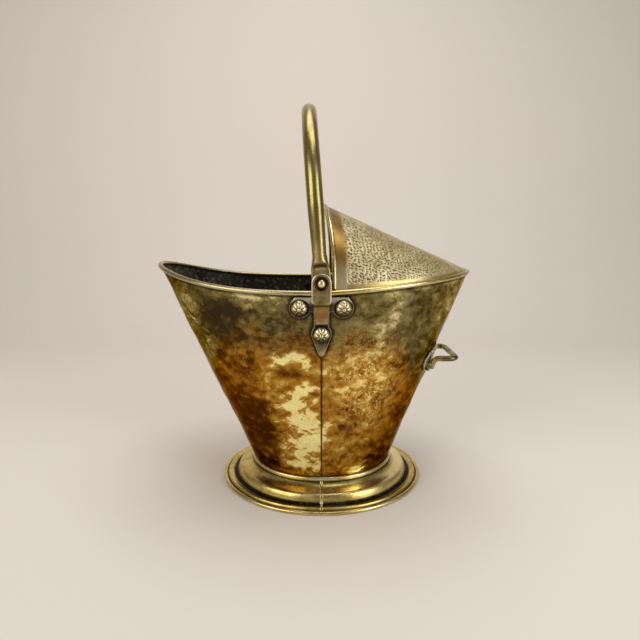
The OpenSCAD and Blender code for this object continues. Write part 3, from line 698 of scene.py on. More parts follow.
@once
def hammered_brass(n, c):
    """Body sheet: marbled painted reflections, olive above and amber below, with painted light,
    shade and highlights
    """
    x, _, z = n.axes()
    broad = n.noise(70 * MM, 3, 0.5, warp=0.8)
    marble = n.noise(28 * MM, 3, 0.45, warp=0.9)
    crumple = n.noise(13 * MM, 2, 0.45, warp=0.6)
    above = n.noise(13 * MM, 2, 0.45, warp=0.6, shift=(0, 0, 2 * MM))
    # Layers of painted highlights, of painted shade with darker flanks, and of painted light and
    # shade from the slope of the hammered sheet
    rub, dark, tilt = n.layer("rub"), n.layer("dark"), n.layer("tilt")
    wave = marble * 3 + crumple * 2
    # Painted light and shade: a sawtooth like the reflections of crumpled sheet, each crumple lit
    # above and shaded below, and the sheet's slope
    fold_reflections = wave.fract() - 0.5
    lit = (crumple - above) * (rub * 1.6 + 0.4) + tilt * 0.5 + fold_reflections * (0.12 + rub * 0.1)
    tone = 0.42 + (broad - 0.5) * 0.22 + (marble - 0.5) * (0.32 + rub * 1.0) * (1.1 - dark * 0.5)
    # Crisp-edged painted reflections, weaker in the shade and in the highlights
    flakes = n.noise(6 * MM, 2, 0.5, warp=0.8).step(0.50, 0.55)
    facet_reflections = crumple.step(0.47, 0.52) + flakes * 0.6 - 0.7
    tone = tone + lit + facet_reflections * (0.13 - dark * 0.05 - rub * 0.05) + rub * 0.48 - dark * 0.29
    # The ramps paint shade in their darker steps, light in the half lit and lit steps, and
    # highlights in the brightest
    warm = n.ramp(tone, [(0.0, c.ember), (0.16, c.sienna), (0.42, c.amber), (0.60, c.honey),
                         (0.70, c.straw), (0.735, c.corn), (0.83, c.glint), (1.0, c.spark)])
    cool = n.ramp(tone, [(0.0, c.bog), (0.2, c.peat), (0.42, c.olive), (0.60, c.sage),
                         (0.76, c.reed), (1.0, c.pale)])
    # the painted warm reflection reaches higher ahead of the sides and lower towards both ends
    height = z - x.step(-35 * MM, -70 * MM) * 0.012 + abs(x + 5 * MM).step(90 * MM, 145 * MM) * 0.05
    low = (height + (broad - 0.5) * 0.05 + (marble - 0.5) * 0.05).step(COOL_ABOVE, WARM_BELOW)
    colour = n.blend(low, cool, warm)
    # Painted golden lines inside the painted highlights
    painted_ripples = (wave * 2.5).pingpong(0.5).step(0.40, 0.5) * tone.step(0.68, 0.76)
    colour = n.blend(painted_ripples * 0.45, colour, c.toffee)
    # Painted orange reflection specks, then painted glints
    orange_glare = n.layer("pink") * n.noise(8 * MM, 4, 0.6, warp=1.0).step(0.48, 0.55)
    colour = n.blend(orange_glare * 0.75, colour, c.copper)
    sparks = (n.layer("pink") + rub * 0.3) * n.noise(4.5 * MM, 3, 0.55, warp=1.0).step(0.57, 0.61)
    colour = n.blend(sparks, colour, c.glint)
    rust = n.noise(17 * MM, 4, 0.55, warp=1.0).step(0.52, 0.64) * (1 - rub) * low * 0.28
    colour = n.blend(rust, colour, c.rust)
    specks = n.noise(2.2 * MM, 2).step(0.68, 0.74) * 0.5
    colour = n.blend(specks, colour, c.umber)
    colour = n.blend(n.layer("grime") * (marble * 0.6 + 0.6), colour, c.grime)
    inside = n.layer("inside")
    dust = n.noise(6 * MM, 5, 0.7).step(0.53, 0.62)
    sooty = n.blend(dust * 0.8, n.blend(broad.step(0.4, 0.6), c.soot, c.cinder), c.ash)
    colour = n.blend(inside, colour, sooty)
    rough = 0.11 + crumple * 0.12 + n.layer("grime") * 0.2 + inside * 0.25
    n.feed(n.shader.inputs["Specular Tint"], c.sheen)
    marks = n.cells(9 * MM)
    scratches = n.noise(1.6 * MM, 3, 0.7, stretch=(1, 1, 0.2))
    bumps = n.bump(marks, 1.0 * MM, 0.4)
    bumps = n.bump(crumple, 1.2 * MM, 0.4, bumps)
    bumps = n.bump(scratches, 0.06 * MM, 0.3, bumps)
    return n.finish(colour, rough, bumps, 1 - inside * 0.6)


@once
def bright_brass(n, c):
    """Rolled edges and mouldings: smooth, rubbed pale, a little brown in streaks"""
    streaks = n.noise(28 * MM, 4, 0.6, stretch=(1, 1, 3), warp=0.5)
    fine = n.noise(4 * MM, 3, 0.6)
    colour = n.blend(streaks.step(0.35, 0.7), c.gold, c.pale)
    colour = n.blend(fine.step(0.62, 0.8) * 0.35, colour, c.umber)
    colour = n.blend(n.layer("dull"), colour, c.drab)
    # Painted shade on the undersides of the rolled edges
    colour = n.blend(n.layer("grime"), colour, c.grime)
    relief = n.bump(fine, 0.1 * MM, 0.4)
    return n.finish(colour, 0.2 + streaks * 0.14, relief)


@once
def foot_brass(n, c):
    """Moulded foot: pale on its ridges, with a painted highlight on the step's top, and painted
    shade in its channel
    """
    streaks = n.noise(35 * MM, 4, 0.6, stretch=(1, 1, 2.5), warp=0.8)
    fine = n.noise(5 * MM, 4, 0.65)
    # Painted shade under the band, in the channel and by the hem
    grime = n.layer("grime")
    colour = n.blend(streaks.step(0.35, 0.68), c.gold, c.butter)
    colour = n.blend(n.noise(16 * MM, 3).step(0.50, 0.66) * 0.6, colour, c.bronze)
    # Painted highlight on the top of the step
    colour = n.blend(n.layer("shelf") * streaks.step(0.2, 0.5), colour, c.cream)
    colour = n.blend(fine.step(0.58, 0.75) * 0.4, colour, c.umber)
    colour = n.blend((grime * (fine * 0.4 + 0.8)).smaller(1), colour, c.grime)
    relief = n.bump(n.noise(11 * MM, 3), 0.5 * MM, 0.5)
    relief = n.bump(fine, 0.12 * MM, 0.4, relief)
    return n.finish(colour, 0.2 + streaks * 0.15 + grime * 0.25, relief)


@once
def punched_brass(n, c):
    """Hood: matt and pale between the punch marks, dark in them, smooth along its edges; the band
    along the arch turns pale towards its lower ends as a painted reflection
    """
    z = n.axes()[2]
    broad = n.noise(45 * MM, 3, 0.55)
    fine = n.noise(3 * MM, 3, 0.6)
    smooth, arch, inside = n.layer("smooth"), n.layer("arch"), n.layer("inside")
    pit = n.layer("pit") + (fine - 0.5) * 0.4
    colour = n.blend(broad.step(0.3, 0.7), c.khaki, c.pale)
    tarnish = n.noise(18 * MM, 4, 0.6).step(0.42, 0.62)
    colour = n.blend(tarnish * 0.45, colour, c.tan)
    colour = n.blend(fine.step(0.5, 0.75) * 0.35, colour, c.olive)
    colour = n.blend(smooth * 0.6, colour, c.gold)
    # The band along the arch is brown above and pale towards its lower ends, a painted reflection
    brown = n.blend(z.step(310 * MM, 272 * MM), c.walnut, c.pale)
    colour = n.blend(arch * (1 - broad.step(0.5, 0.75) * 0.3), colour, brown)
    colour = n.blend(pit.step(0.15, 0.5) * 0.3, colour, c.umber)
    colour = n.blend(pit.step(0.48, 0.66) * 0.9, colour, c.pitch)
    colour = n.blend(inside, colour, c.soot)
    rough = 0.44 - smooth * 0.1 + inside * 0.2
    relief = n.bump(fine, 0.08 * MM, 0.4)
    return n.finish(colour, rough, relief, 0.5 + smooth * 0.5)


@once
def cast_brass(n, c):
    """Ear and rear plates: greenish and dull, with pale worn edges, a painted highlight along their
    tops and painted shade along their sides
    """
    cloud = n.noise(9 * MM, 4, 0.6, warp=0.5)
    fine = n.noise(2.5 * MM, 3, 0.6)
    colour = n.blend(cloud.step(0.3, 0.7), c.fern, c.lichen)
    dull = n.blend(cloud.step(0.35, 0.7), c.slate, c.shale)
    colour = n.blend(n.layer("dull"), colour, dull)
    # Worn edges, and a painted highlight along the tops of the plates
    colour = n.blend(n.layer("wear") * (cloud * 0.6 + 0.6), colour, c.worn)
    colour = n.blend(n.layer("rust") * cloud.step(0.2, 0.6), colour, c.fox)
    colour = n.blend(fine.step(0.6, 0.8) * 0.5, colour, c.umber)
    # Painted shade along the plates' sides and under the stems' creases
    colour = n.blend(n.layer("grime"), colour, c.grime)
    relief = n.bump(cloud, 0.5 * MM, 0.5)
    relief = n.bump(fine, 0.15 * MM, 0.4, relief)
    return n.finish(colour, 0.26 + cloud * 0.16, relief)


@once
def rosette_brass(n, c):
    """Rosettes and pins: bright on top, black in their grooves"""
    fine = n.noise(2.5 * MM, 3, 0.6)
    colour = n.blend(fine.step(0.3, 0.7), c.khaki, c.petal)
    colour = n.blend(n.layer("shade"), colour, c.umber)
    # Painted shade at the rosettes' feet, in their grooves and in the pivots' cups
    colour = n.blend(n.layer("grime"), colour, c.grime)
    return n.finish(colour, 0.26 + fine * 0.12, n.bump(fine, 0.05 * MM, 0.3))


@once
def handle_brass(n, c):
    """Bail and rear loop: greenish gold, polished by hands, with long dull streaks"""
    streaks = n.noise(24 * MM, 4, 0.6, stretch=(1, 1, 0.35), warp=0.4)
    fine = n.noise(4 * MM, 3, 0.65)
    colour = n.blend(streaks.step(0.4, 0.75), c.moss, c.khaki)
    colour = n.blend(n.noise(40 * MM, 3, 0.6).step(0.45, 0.65) * 0.5, colour, c.hazel)
    colour = n.blend(fine.step(0.52, 0.78) * 0.55, colour, c.olive)
    # Dirt, and painted shade in the step above each eye
    colour = n.blend(n.layer("grime"), colour, c.grime)
    relief = n.bump(streaks, 0.5 * MM, 0.4)
    relief = n.bump(fine, 0.1 * MM, 0.35, relief)
    return n.finish(colour, 0.22 + streaks * 0.12, relief)


@once
def plain_brass(n, c):
    """Straps, washers and floor inside: unpolished and sooty"""
    cloud = n.noise(14 * MM, 4, 0.65)
    colour = n.blend(cloud.step(0.35, 0.7), c.soot, c.umber)
    return n.finish(colour, 0.45 + cloud * 0.2, n.bump(cloud, 0.4 * MM, 0.5), 0.7)


@once
def iron_wire(n, c):
    """Wires inside the rolled edges"""
    scale = n.noise(3 * MM, 3, 0.6)
    colour = n.blend(scale.step(0.4, 0.7), c.steel, c.umber)
    return n.finish(colour, 0.4 + scale * 0.2, n.bump(scale, 0.2 * MM, 0.5))


# Body

class Hammering(Sizes):
    """How far the hammered wall stands off its true surface."""

    def __init__(self, wall):
        super().__init__("scuttle_hammering")
        self.wall = wall

    def dish_at(self, p):
        """A round hollow about each of some scattered points, from -0.5 in its middle to 0.5."""
        edge = 0.62
        near = noise.voronoi(p / self.dish_len)[0][0]
        return (min(near, edge) / edge) ** 2 - 0.5

    def at(self, p, f, t):
        """Height at a point of the wall, at a share of its height and an angle round it."""
        wave = noise.noise(p / self.swell_len) + 0.45 * noise.noise(p / self.swell_len * 2.3)
        height = self.swell * wave + self.dish * self.dish_at(p) + self.dent_at(p)
        rise = (self.wall.rim(t) - self.wall.waist(t)).length
        border = ease(0, self.calm, (1 - f) * rise) * ease(0, self.calm, f * rise + self.calm / 3)
        return height * border * self.calm_at_plates(p) + self.seam_lip(p, f)

    def dent_at(self, p):
        if p.y > 0:
            return 0
        r = hypot(p.x + self.dent_ahead, p.z - self.dent_h) / self.dent_r
        raised = 0.4 * math.exp(-((r - 1) / 0.4) ** 2)
        return self.dent_depth * (raised - math.exp(-(r / 0.55) ** 2))

    def calm_at_plates(self, p):
        """Flatter under the ears and the rear plate, so that they lie close to the sheet."""
        calm = 0.15
        places = [(p.x, EAR_CALM)] + [(p.y, REAR_CALM)] * (p.x > 0)
        off = min(hypot(across / wide, (p.z - z) / high) for across, (z, wide, high) in places)
        return mix(calm, 1, ease(0.75, 1.25, off))

    def seam_lip(self, p, f):
        """The back sheet laps a little proud along the side seams, below the ears."""
        lap = 0.55 * MM
        below_ears = ease(196 * MM, 188 * MM, p.z)
        return lap * ease(6 * MM, 2.5 * MM, p.x) * below_ears if p.x >= 0 else 0


def body_sheet(name, wall, start, node):
    """One hammered half of the body; start is the angle of its middle."""
    hammering = Hammering(wall)
    sign = 1 if start == 0 else -1

    def spot(u, v):
        low = wall.share(wall.waist_h - wall.band_h / 2, start)
        f = mix(low, wall.share_below_rim(wall.bead * 0.35, start), v)
        edge = wall.angle_at_x(sign * wall.seam / 2, f)
        half = edge if start == 0 else pi - edge
        return start + mix(-half, half, u), f

    def place(u, v):
        t, f = spot(u, v)
        p = wall.middle(t, f)
        return p + wall.out(t, f) * (wall.sheet / 2 + hammering.at(p, f, t))

    bm = patch(*BODY_GRID, place)
    away = lambda p: Vector((p.x, p.y, 0))
    face_outwards(bm, away)
    # Painted light and shade: where a hammered slope faces up the sheet is stored lighter, where it
    # faces down darker
    tilt = layer(bm, "tilt")
    for v in bm.verts:
        t = atan2(v.co.y / wall.rim_w * 2, v.co.x / wall.reach(v.co.x))
        f = wall.share(v.co.z, t)
        v[tilt] = (v.normal - wall.out(t, f)).dot(wall.up(t)) * 6
    thicken(bm, wall.sheet, away)
    ear = Ear(wall, 1)
    outline = ear.outline()
    # Painted shade under the bead, over the band and round the ears, with dark lines at the seams;
    # painted highlights; painted orange reflection specks; painted shade in places and darker
    # flanks
    paint(bm, "grime", lambda p: body_grime(wall, ear, outline, p))
    paint(bm, "rub", lambda p: zones(PAINTED_GLARE, p))
    paint(bm, "pink", lambda p: zones(SPECK_GLARE, p))
    paint(bm, "dark", lambda p: max(dark_flank(wall, p), zones(SHADED, p)))
    return piece(name, bm, [node], hammered_brass)


# Painted highlights of each side, reflections of bright light: how far behind the pivots they
# lie, how high, their half width and half height, all in millimetres, and their strength
PAINTED_GLARE = (
    (-60, 178, 7, 4, 1.1), (-46, 186, 9, 4.5, 1.1),
    (-30, 193, 12, 5, 1.2), (-17, 184, 5, 7, 0.9),
    (-20, 151, 10, 9, 1.3), (-31, 132, 17, 11, 1.4),
    (-21, 107, 21, 19, 1.5), (-20, 77, 21, 20, 1.5),
    (-20, 50, 20, 14, 1.2), (42, 39, 14, 9, 0.9),
    (-47, 82, 4, 7, 0.7), (3, 92, 5, 16, 0.6),
    (52, 168, 20, 22, 0.45), (62, 120, 18, 20, 0.35),
    (84, 244, 9, 28, 0.75), (68, 222, 7, 24, 0.55),
    (-75, 262, 50, 6, 0.85), (-165, 238, 18, 30, 1.3),
    (-142, 195, 10, 26, 0.8), (-95, 185, 7, 14, 0.5),
    (168, 240, 17, 44, 1.2), (140, 165, 12, 30, 0.4))
# Places of painted orange reflection specks and glints, in the same form
SPECK_GLARE = ((50, 160, 30, 45, 0.9),)
# Places painted darker, as shade, in the same form
SHADED = ((-42, 171, 19, 7.5, 1.5), (-60, 228, 26, 18, 0.45),
          (98, 90, 20, 45, 1.0))


def zones(places, p):
    """How strongly a point lies in any of some soft oval places."""
    behind, up = p.x / MM, p.z / MM
    return max(strength * math.exp(-((behind - x) / wide) ** 2 - ((up - z) / high) ** 2)
               for x, z, wide, high, strength in places)


def dark_flank(wall, p):
    """Darker between the sides and the two ends, heavier towards the mouth."""
    f = wall.share(p.z, pi / 2)
    along = p.x / mix(wall.waist_len / 2, wall.reach(p.x), f)
    along += 0.05 * noise.noise(p / (28 * MM))
    if p.x < 0:
        return ease(-0.42, -0.50, along) * ease(-0.97, -0.86, along)
    return 0.55 * ease(0.50, 0.66, along) * ease(0.98, 0.86, along) * ease(220 * MM, 150 * MM, p.z)


def distance_to_line(x, z, outline):
    """The least distance from a point to a line of points."""
    spot = Vector((x, z))
    least = 1
    for a, b in zip(outline, outline[1:]):
        start, run = Vector(a), Vector(b) - Vector(a)
        k = min(max((spot - start).dot(run) / run.length_squared, 0), 1)
        least = min(least, (spot - start - run * k).length)
    return least


def body_grime(wall, ear, outline, p):
    """Painted shade under the rim's bead, over the waist's band and round the ears, and a dark line
    along the seams.
    """
    below = wall.rim_z(p.x) - p.z
    under_rim = ease(6.5 * MM, 3.0 * MM, below) * 0.95
    over_band = ease(8 * MM, 3.5 * MM, p.z - wall.waist_h) * 0.8
    seam = ease(1.6 * MM, 0.5 * MM, abs(p.x)) * ease(200 * MM, 190 * MM, p.z)
    ring = 0
    if abs(p.x) < 50 * MM and p.z > 180 * MM:
        off = distance_to_line(abs(p.x), p.z - ear.rosette_z, outline)
        ring = ease(5 * MM, 1.2 * MM, off)
    return max(under_rim, over_band, seam, ring)


class SCUTTLE_OT_body(Operator):
    """Make the two hammered halves of the body"""
    bl_idname = "scuttle.body"
    bl_label = "Body"

    def execute(self, context):
        wall = Wall()
        body_sheet("hammered_mouth_half", wall, pi, "body_mouth_sheet")
        body_sheet("hammered_back_half", wall, 0, "body_back_sheet")
        return {"FINISHED"}


def wall_ring(wall, f, section):
    """A ring round the wall; section(angle) gives its outline as (out, up)."""
    def place(u, v):
        out, up = section(tau * v)
        t = tau * u
        return wall.at(t, f, out) + wall.up(t) * up

    return patch(RING_STEPS, ROLL_SIDES, place, joined=True)


def band_section(wall, angle):
    """Half round outside, flat against the wall."""
    out, up = superellipse(angle, wall.band_out, wall.band_h / 2, 2.2)
    return wall.plate_in + max(out, 0), up


class SCUTTLE_OT_rim(Operator):
    """Make the rolled rim and the band at the waist"""
    bl_idname = "scuttle.rim"
    bl_label = "Rim and band"

    def execute(self, context):
        wall = Wall()
        radius = wall.bead / 2
        roll = wall_ring(wall, 1, lambda a: (radius * cos(a), radius * sin(a)))
        # Painted shade on the underside of the bead
        paint(roll, "grime", lambda p: ease(-0.55, -0.95, (p.z - wall.rim_z(p.x)) / radius) * 0.9)
        paint(roll, "dull", lambda p: 0.75 * ease(20 * MM, -50 * MM, p.x))
        piece("rim_roll", roll, ["rim_bead"], bright_brass)
        band = wall_ring(wall, 0, lambda a: band_section(wall, a))
        # Painted shade along the band's lower edge
        paint(band, "grime", lambda p: ease(-1.5, -3.2, (p.z - wall.waist_h) / MM) * 0.7)
        piece("waist_roll", band, ["waist_band"], bright_brass)
        return {"FINISHED"}


# Foot

class Foot(Sizes):
    """The moulded foot: its section is carried round an oval that widens downwards."""

    def __init__(self, wall):
        super().__init__("scuttle_foot")
        self.wall = wall
        self.hem_z = self.hem / 2 * cos(radians(15))
        self.spread = (self.foot_len + self.foot_w - wall.waist_len - wall.waist_w) / 4 - self.hem
        top = wall.waist_h - wall.band_h / 2 - wall.seat
        # from the waist: hollow, step down, channel, flat and the hem's slit
        self.line = [
            (0.034, top), (0.09, top - 2.4 * MM), (0.19, top - 4.7 * MM), (0.315, top - 6.2 * MM),
            (0.45, top - 7.2 * MM), (0.54, top - 8.8 * MM), (0.59, top - 12 * MM),
            (0.63, top - 16 * MM), (0.685, 6.3 * MM), (0.775, 5.6 * MM), (0.875, 6.6 * MM),
            (0.945, 6.9 * MM), (0.985, 4.6 * MM), (0.992, self.hem_z + 0.6 * self.foot_sheet),
            (1.026, self.hem_z + self.foot_sheet / 2)]

    def at(self, t, g, z):
        wall = self.wall
        face = wall.sheet / 2
        return Vector((mix(wall.waist_len / 2 + face, self.foot_len / 2 - self.hem, g) * cos(t),
                       mix(wall.waist_w / 2 + face, self.foot_w / 2 - self.hem, g) * sin(t), z))

    def section(self, v):
        """A smooth line through the section's points, v from 0 at the waist to 1 at the hem."""
        place = v * (len(self.line) - 1)
        i = min(int(place), len(self.line) - 2)
        k = place - i
        near = [self.line[min(max(j, 0), len(self.line) - 1)] for j in range(i - 1, i + 3)]
        return tuple(spline(k, *[q[axis] for q in near]) for axis in (0, 1))

    def lifted(self, v, d):
        """The section moved outwards by d."""
        ahead, behind = self.section(min(v + 0.01, 1)), self.section(max(v - 0.01, 0))
        run = Vector(((ahead[0] - behind[0]) * self.spread, ahead[1] - behind[1])).normalized()
        g, z = self.section(v)
        return g - run.y * d / self.spread, z + run.x * d


def spline(k, a, b, c, d):
    """A point between b and c on the smooth line through four values."""
    return b + 0.5 * k * (c - a + k * (2 * a - 5 * b + 4 * c - d + k * (3 * (b - c) + d - a)))


def foot_half(name, foot, start, node):
    sign = 1 if start == 0 else -1
    reach = foot.wall.waist_len / 2

    def place(u, v):
        g, z = foot.section(v)
        width = mix(reach, foot.foot_len / 2, g)
        half = pi / 2 - foot.wall.seam / 2 / width
        dent = 0.25 * MM * noise.noise(Vector((u * 9 * sign, v * 2, start))) * ease(1, 0.9, v)
        return foot.at(start + mix(-half, half, u), g, z + dent)

    bm = patch(*FOOT_GRID, place)
    thicken(bm, foot.foot_sheet, lambda p: Vector((p.x, p.y, 0.3)))
    # Painted shade under the band, in the channel and by the hem
    paint(bm, "grime", lambda p: foot_grime(foot, p))
    # Painted highlight on the top of the step
    paint(bm, "shelf", lambda p: foot_shelf(foot, p))
    return piece(name, bm, [node], foot_brass)


def foot_share(foot, p):
    """How far out on the foot a point lies: 0 at the waist, 1 at the hem."""
    wall = foot.wall
    t = atan2(p.y / foot.foot_w, p.x / foot.foot_len)
    near, far = foot.at(t, 0, 0).xy.length, foot.at(t, 1, 0).xy.length
    return (p.xy.length - near) / (far - near)


def foot_grime(foot, p):
    """Painted shade under the waist's band, in the channel at the foot of the step and by the hem.
    """
    g = foot_share(foot, p)
    under_band = ease(0.14, 0.03, g)
    channel = ease(0.60, 0.65, g) * ease(0.82, 0.74, g)
    hem = ease(0.955, 0.985, g) * 0.6
    return max(under_band, channel, hem)


def foot_shelf(foot, p):
    """Painted highlight on the flat top of the step, most of it behind the pivots."""
    g = foot_share(foot, p)
    return ease(0.12, 0.24, g) * ease(0.58, 0.46, g) * ease(-70 * MM, 40 * MM, p.x)


def foot_strip(foot, side):
    """A raised strip over one of the foot's seams, with round edges."""
    half, lift = 1.7 * MM, 0.9 * MM
    last = len(foot.line) - 3

    def place(u, v):
        across, up = superellipse(tau * u, half, lift / 2, 3)
        g, z = foot.lifted(v * last / (len(foot.line) - 1), foot.wall.seat + lift / 2 + up)
        return foot.at(side * pi / 2, g, z) + Vector((across, 0, 0))

    return tube(ROLL_SIDES, 60, place)


class SCUTTLE_OT_foot(Operator):
    """Make the moulded foot, its seam strips and its rolled hem"""
    bl_idname = "scuttle.foot"
    bl_label = "Foot"

    def execute(self, context):
        foot = Foot(Wall())
        foot_half("moulded_mouth_half", foot, pi, "foot_mouth_half")
        foot_half("moulded_back_half", foot, 0, "foot_back_half")
        strips = foot_strip(foot, -1)
        put(strips, foot_strip(foot, 1))
        piece("seam_strips", strips, ["foot_seam_strips"], bright_brass)
        radius = foot.hem / 2

        def hem(u, v):
            t = tau * u
            reach = radius * (1 + cos(tau * v))
            flat = max(foot.hem_z + radius * sin(tau * v), 0)
            return foot.at(t, 1, flat) + Vector((cos(t), sin(t), 0)) * reach

        roll = patch(RING_STEPS, ROLL_SIDES, hem, joined=True)
        # Painted shade along the hem's bottom, where it meets the floor
        paint(roll, "grime", lambda p: ease(0.5 * MM, 0, p.z) * 0.6)
        piece("hem_roll", roll, ["hem_bead"], bright_brass)
        return {"FINISHED"}


# Hood

class Hood(Sizes):
    """The half hood: its ridge is straight, and its lower edge stands inside the rim's bead.

    k runs from the arch to the tail, and a from the +Y foot over the ridge to the -Y foot.
    """

    def __init__(self, wall):
        super().__init__("scuttle_hood")
        self.wall = wall
        self.inset = wall.bead / 2 + wall.seat + self.hood_sheet / 2
        self.foot = 2.5 * MM
        self.start = acos(self.arch_back / wall.back_len)
        self.end = radians(3)
        self.tail_x = wall.back_len - wall.bead / 2 - 1 * MM
        self.tail_z = wall.rim_h + wall.back_rise + wall.bead / 2
        self.first_x = self.base(0).x
        self.last_x = self.base(1).x
        self.half_girths = [self.half_girth(i / GIRTHS) for i in range(GIRTHS + 1)]
        self.ridge = (self.at(1, pi / 2) - self.at(0, pi / 2)).length

    def base(self, k):
        t = mix(self.start, self.end, k)
        return self.wall.rim(t) - self.wall.out(t, 1) * self.inset - Vector((0, 0, self.foot))

    def at(self, k, a):
        b = self.base(k)
        q = (b.x - self.first_x) / (self.last_x - self.first_x)
        top_x = mix(self.arch_back - self.arch_lean, self.tail_x, q)
        top_z = mix(self.arch_h, self.tail_z, q)
        x, z = b.x + (top_x - b.x) * sin(a) ** 3, b.z + (top_z - b.z) * sin(a)
        return Vector((x, b.y * cos(a), z))

    def out(self, k, a):
        across = self.at(k, min(a + 0.03, pi)) - self.at(k, max(a - 0.03, 0))
        along = self.at(min(k + 0.02, 1), a) - self.at(max(k - 0.02, 0), a)
        return across.cross(along).normalized()

    def ahead(self, a):
        return (self.at(0, a) - self.at(0.04, a)).normalized()

    def half_girth(self, k):
        points = [self.at(k, pi / 2 * i / 24) for i in range(25)]
        return sum((b - a).length for a, b in zip(points, points[1:]))

    def half_width(self, k):
        place = min(max(k, 0), 1) * GIRTHS
        i = min(int(place), GIRTHS - 1)
        return mix(self.half_girths[i], self.half_girths[i + 1], place - i)

    def off_margins(self, p):
        """How far inside its smooth margins a point of the flat blank lies."""
        beside = self.half_width(p.x / self.ridge) - abs(p.y)
        return min(p.x - self.arch_margin, beside - self.rim_margin)

    def punches(self):
        """The middles of the punch marks on the flat blank, one in each cell of a loose grid."""
        loose = 0.7
        noise.seed_set(5)
        rows = math.ceil(self.half_width(0) / self.mark)
        return {(i, j): Vector((i + 0.5 + loose * (noise.random() - 0.5),
                                j + 0.5 + loose * (noise.random() - 0.5))) * self.mark
                for i in range(-1, math.ceil(self.ridge / self.mark) + 1)
                for j in range(-rows - 1, rows + 1)}

    def pit(self, punches, p):
        """How deep the nearest mark is at a point of the flat blank, from 0 to 1."""
        i, j = math.floor(p.x / self.mark), math.floor(p.y / self.mark)
        middles = [punches.get((a, b)) for a in (i - 1, i, i + 1) for b in (j - 1, j, j + 1)]
        near = min(((m - p).length for m in middles if m), default=1)
        return ease(0.46, 0.14, near / self.mark)


def punched_hood(hood):
    """The hood's flat blank, rolled up to its shape and then punched from outside."""
    length = hood.ridge
    width = hood.half_width(0)
    bm = bmesh.new()
    bmesh.ops.create_grid(bm, x_segments=HOOD_GRID[0], y_segments=HOOD_GRID[1], size=0.5)
    bmesh.ops.translate(bm, vec=(0.5, 0, 0), verts=bm.verts)
    bmesh.ops.scale(bm, vec=(length, 2 * width, 1), verts=bm.verts)
    for v in bm.verts:
        limit = hood.half_width(v.co.x / length)
        v.co.y = min(max(v.co.y, -limit), limit)
    bmesh.ops.remove_doubles(bm, verts=bm.verts, dist=0.02 * MM)
    smooth, arch, inside, along, across, pit = layers(
        bm, "smooth", "arch", "inside", "along", "across", "pit")
    twin = bm.verts.layers.int.new("twin")
    rolled = []
    for v in bm.verts:
        k = v.co.x / length
        edge = hood.off_margins(v.co)
        v[smooth] = ease(1.5 * MM, -1.5 * MM, edge)
        v[arch] = ease(1 * MM, -1 * MM, v.co.x - hood.arch_margin)
        v[along], v[across] = v.co.xy
        a = pi / 2 * (1 - v.co.y / hood.half_width(k))
        wave = noise.noise(v.co / (40 * MM)) + 0.3 * noise.noise(v.co / (11 * MM))
        # the sheet is uneven, but not along its edges, which fit the beads
        wave *= 0.5 * MM * ease(0, 8 * MM, edge + hood.rim_margin)
        v[twin] = len(rolled)
        rolled.append(hood.out(k, a))
        v.co = hood.at(k, a) + rolled[-1] * (hood.hood_sheet / 2 + wave)
    outer = set(bm.verts)
    bmesh.ops.extrude_face_region(bm, geom=bm.faces[:])
    for v in bm.verts:
        if v not in outer:
            v.co -= rolled[v[twin]] * hood.hood_sheet
            v[inside] = 1
    bm.verts.layers.int.remove(twin)
    fine = [e for e in bm.edges if not any(v[inside] for v in e.verts)]
    bmesh.ops.subdivide_edges(bm, edges=fine, cuts=1, use_grid_fill=True)
    bmesh.ops.recalc_face_normals(bm, faces=bm.faces)
    punches = hood.punches()
    for v in bm.verts:
        if not v[inside]:
            v[pit] = hood.pit(punches, Vector((v[along], v[across]))) * (1 - v[smooth])
    for v in bm.verts:
        v.co -= v.normal * hood.mark_depth * v[pit]
    for name in ("along", "across"):
        bm.verts.layers.float.remove(layer(bm, name))
    return bm


def arch_roll(hood):
    """The rolled edge of the arch: it stands on the rim's bead and laps the hood's edge."""
    radius = hood.arch_bead / 2
    lift = hood.foot + hood.wall.bead / 2 + 2 * hood.wall.seat
    first = asin(lift / (hood.arch_h - hood.wall.rim_h))
    lap = 0.95 * MM

    def place(u, v):
        a = mix(first, pi - first, v)
        out, ahead = hood.out(0, a), hood.ahead(a)
        forward = radius - lap + radius * cos(tau * u)
        return hood.at(0, a) + ahead * forward + out * radius * sin(tau * u)

    return tube(ROLL_SIDES, 140, place)


class SCUTTLE_OT_hood(Operator):
    """Make the punched hood and the rolled edge of its arch"""
    bl_idname = "scuttle.hood"
    bl_label = "Hood"

    def execute(self, context):
        hood = Hood(Wall())
        piece("punched_hood", punched_hood(hood), ["hood"], punched_brass, sharp=60)
        piece("arch_roll", arch_roll(hood), ["arch_bead"], bright_brass)
        return {"FINISHED"}


# Plates

def trefoil(span, lobe, top, low, low_r, tip):
    """Half outline of a plate, from the middle of its flat top clockwise to its tip."""
    x = span / 2
    shoulder = x + 0.6 * lobe
    corner = 0.28 * lobe
    neck = 0.75 * low_r
    notch = 0.35 * lobe
    tip_r = 4 * MM
    lean = degrees(asin((low_r - tip_r) / (tip - tip_r)))
    line = [(0, top)]
    line += arc(shoulder - corner, top - corner, corner, 90, 20, 5)
    line += arc(x, 0, lobe, 42, -180 + degrees(asin(notch / lobe)), 22)
    line += [(neck + 0.6 * MM, -notch - 0.4 * MM), (neck, -notch - 1.6 * MM)]
    line += arc(0, -low, low_r, degrees(acos(neck / low_r)), -lean, 10)
    line += arc(0, tip_r - low - tip, tip_r, -lean, -90, 3)
    return line


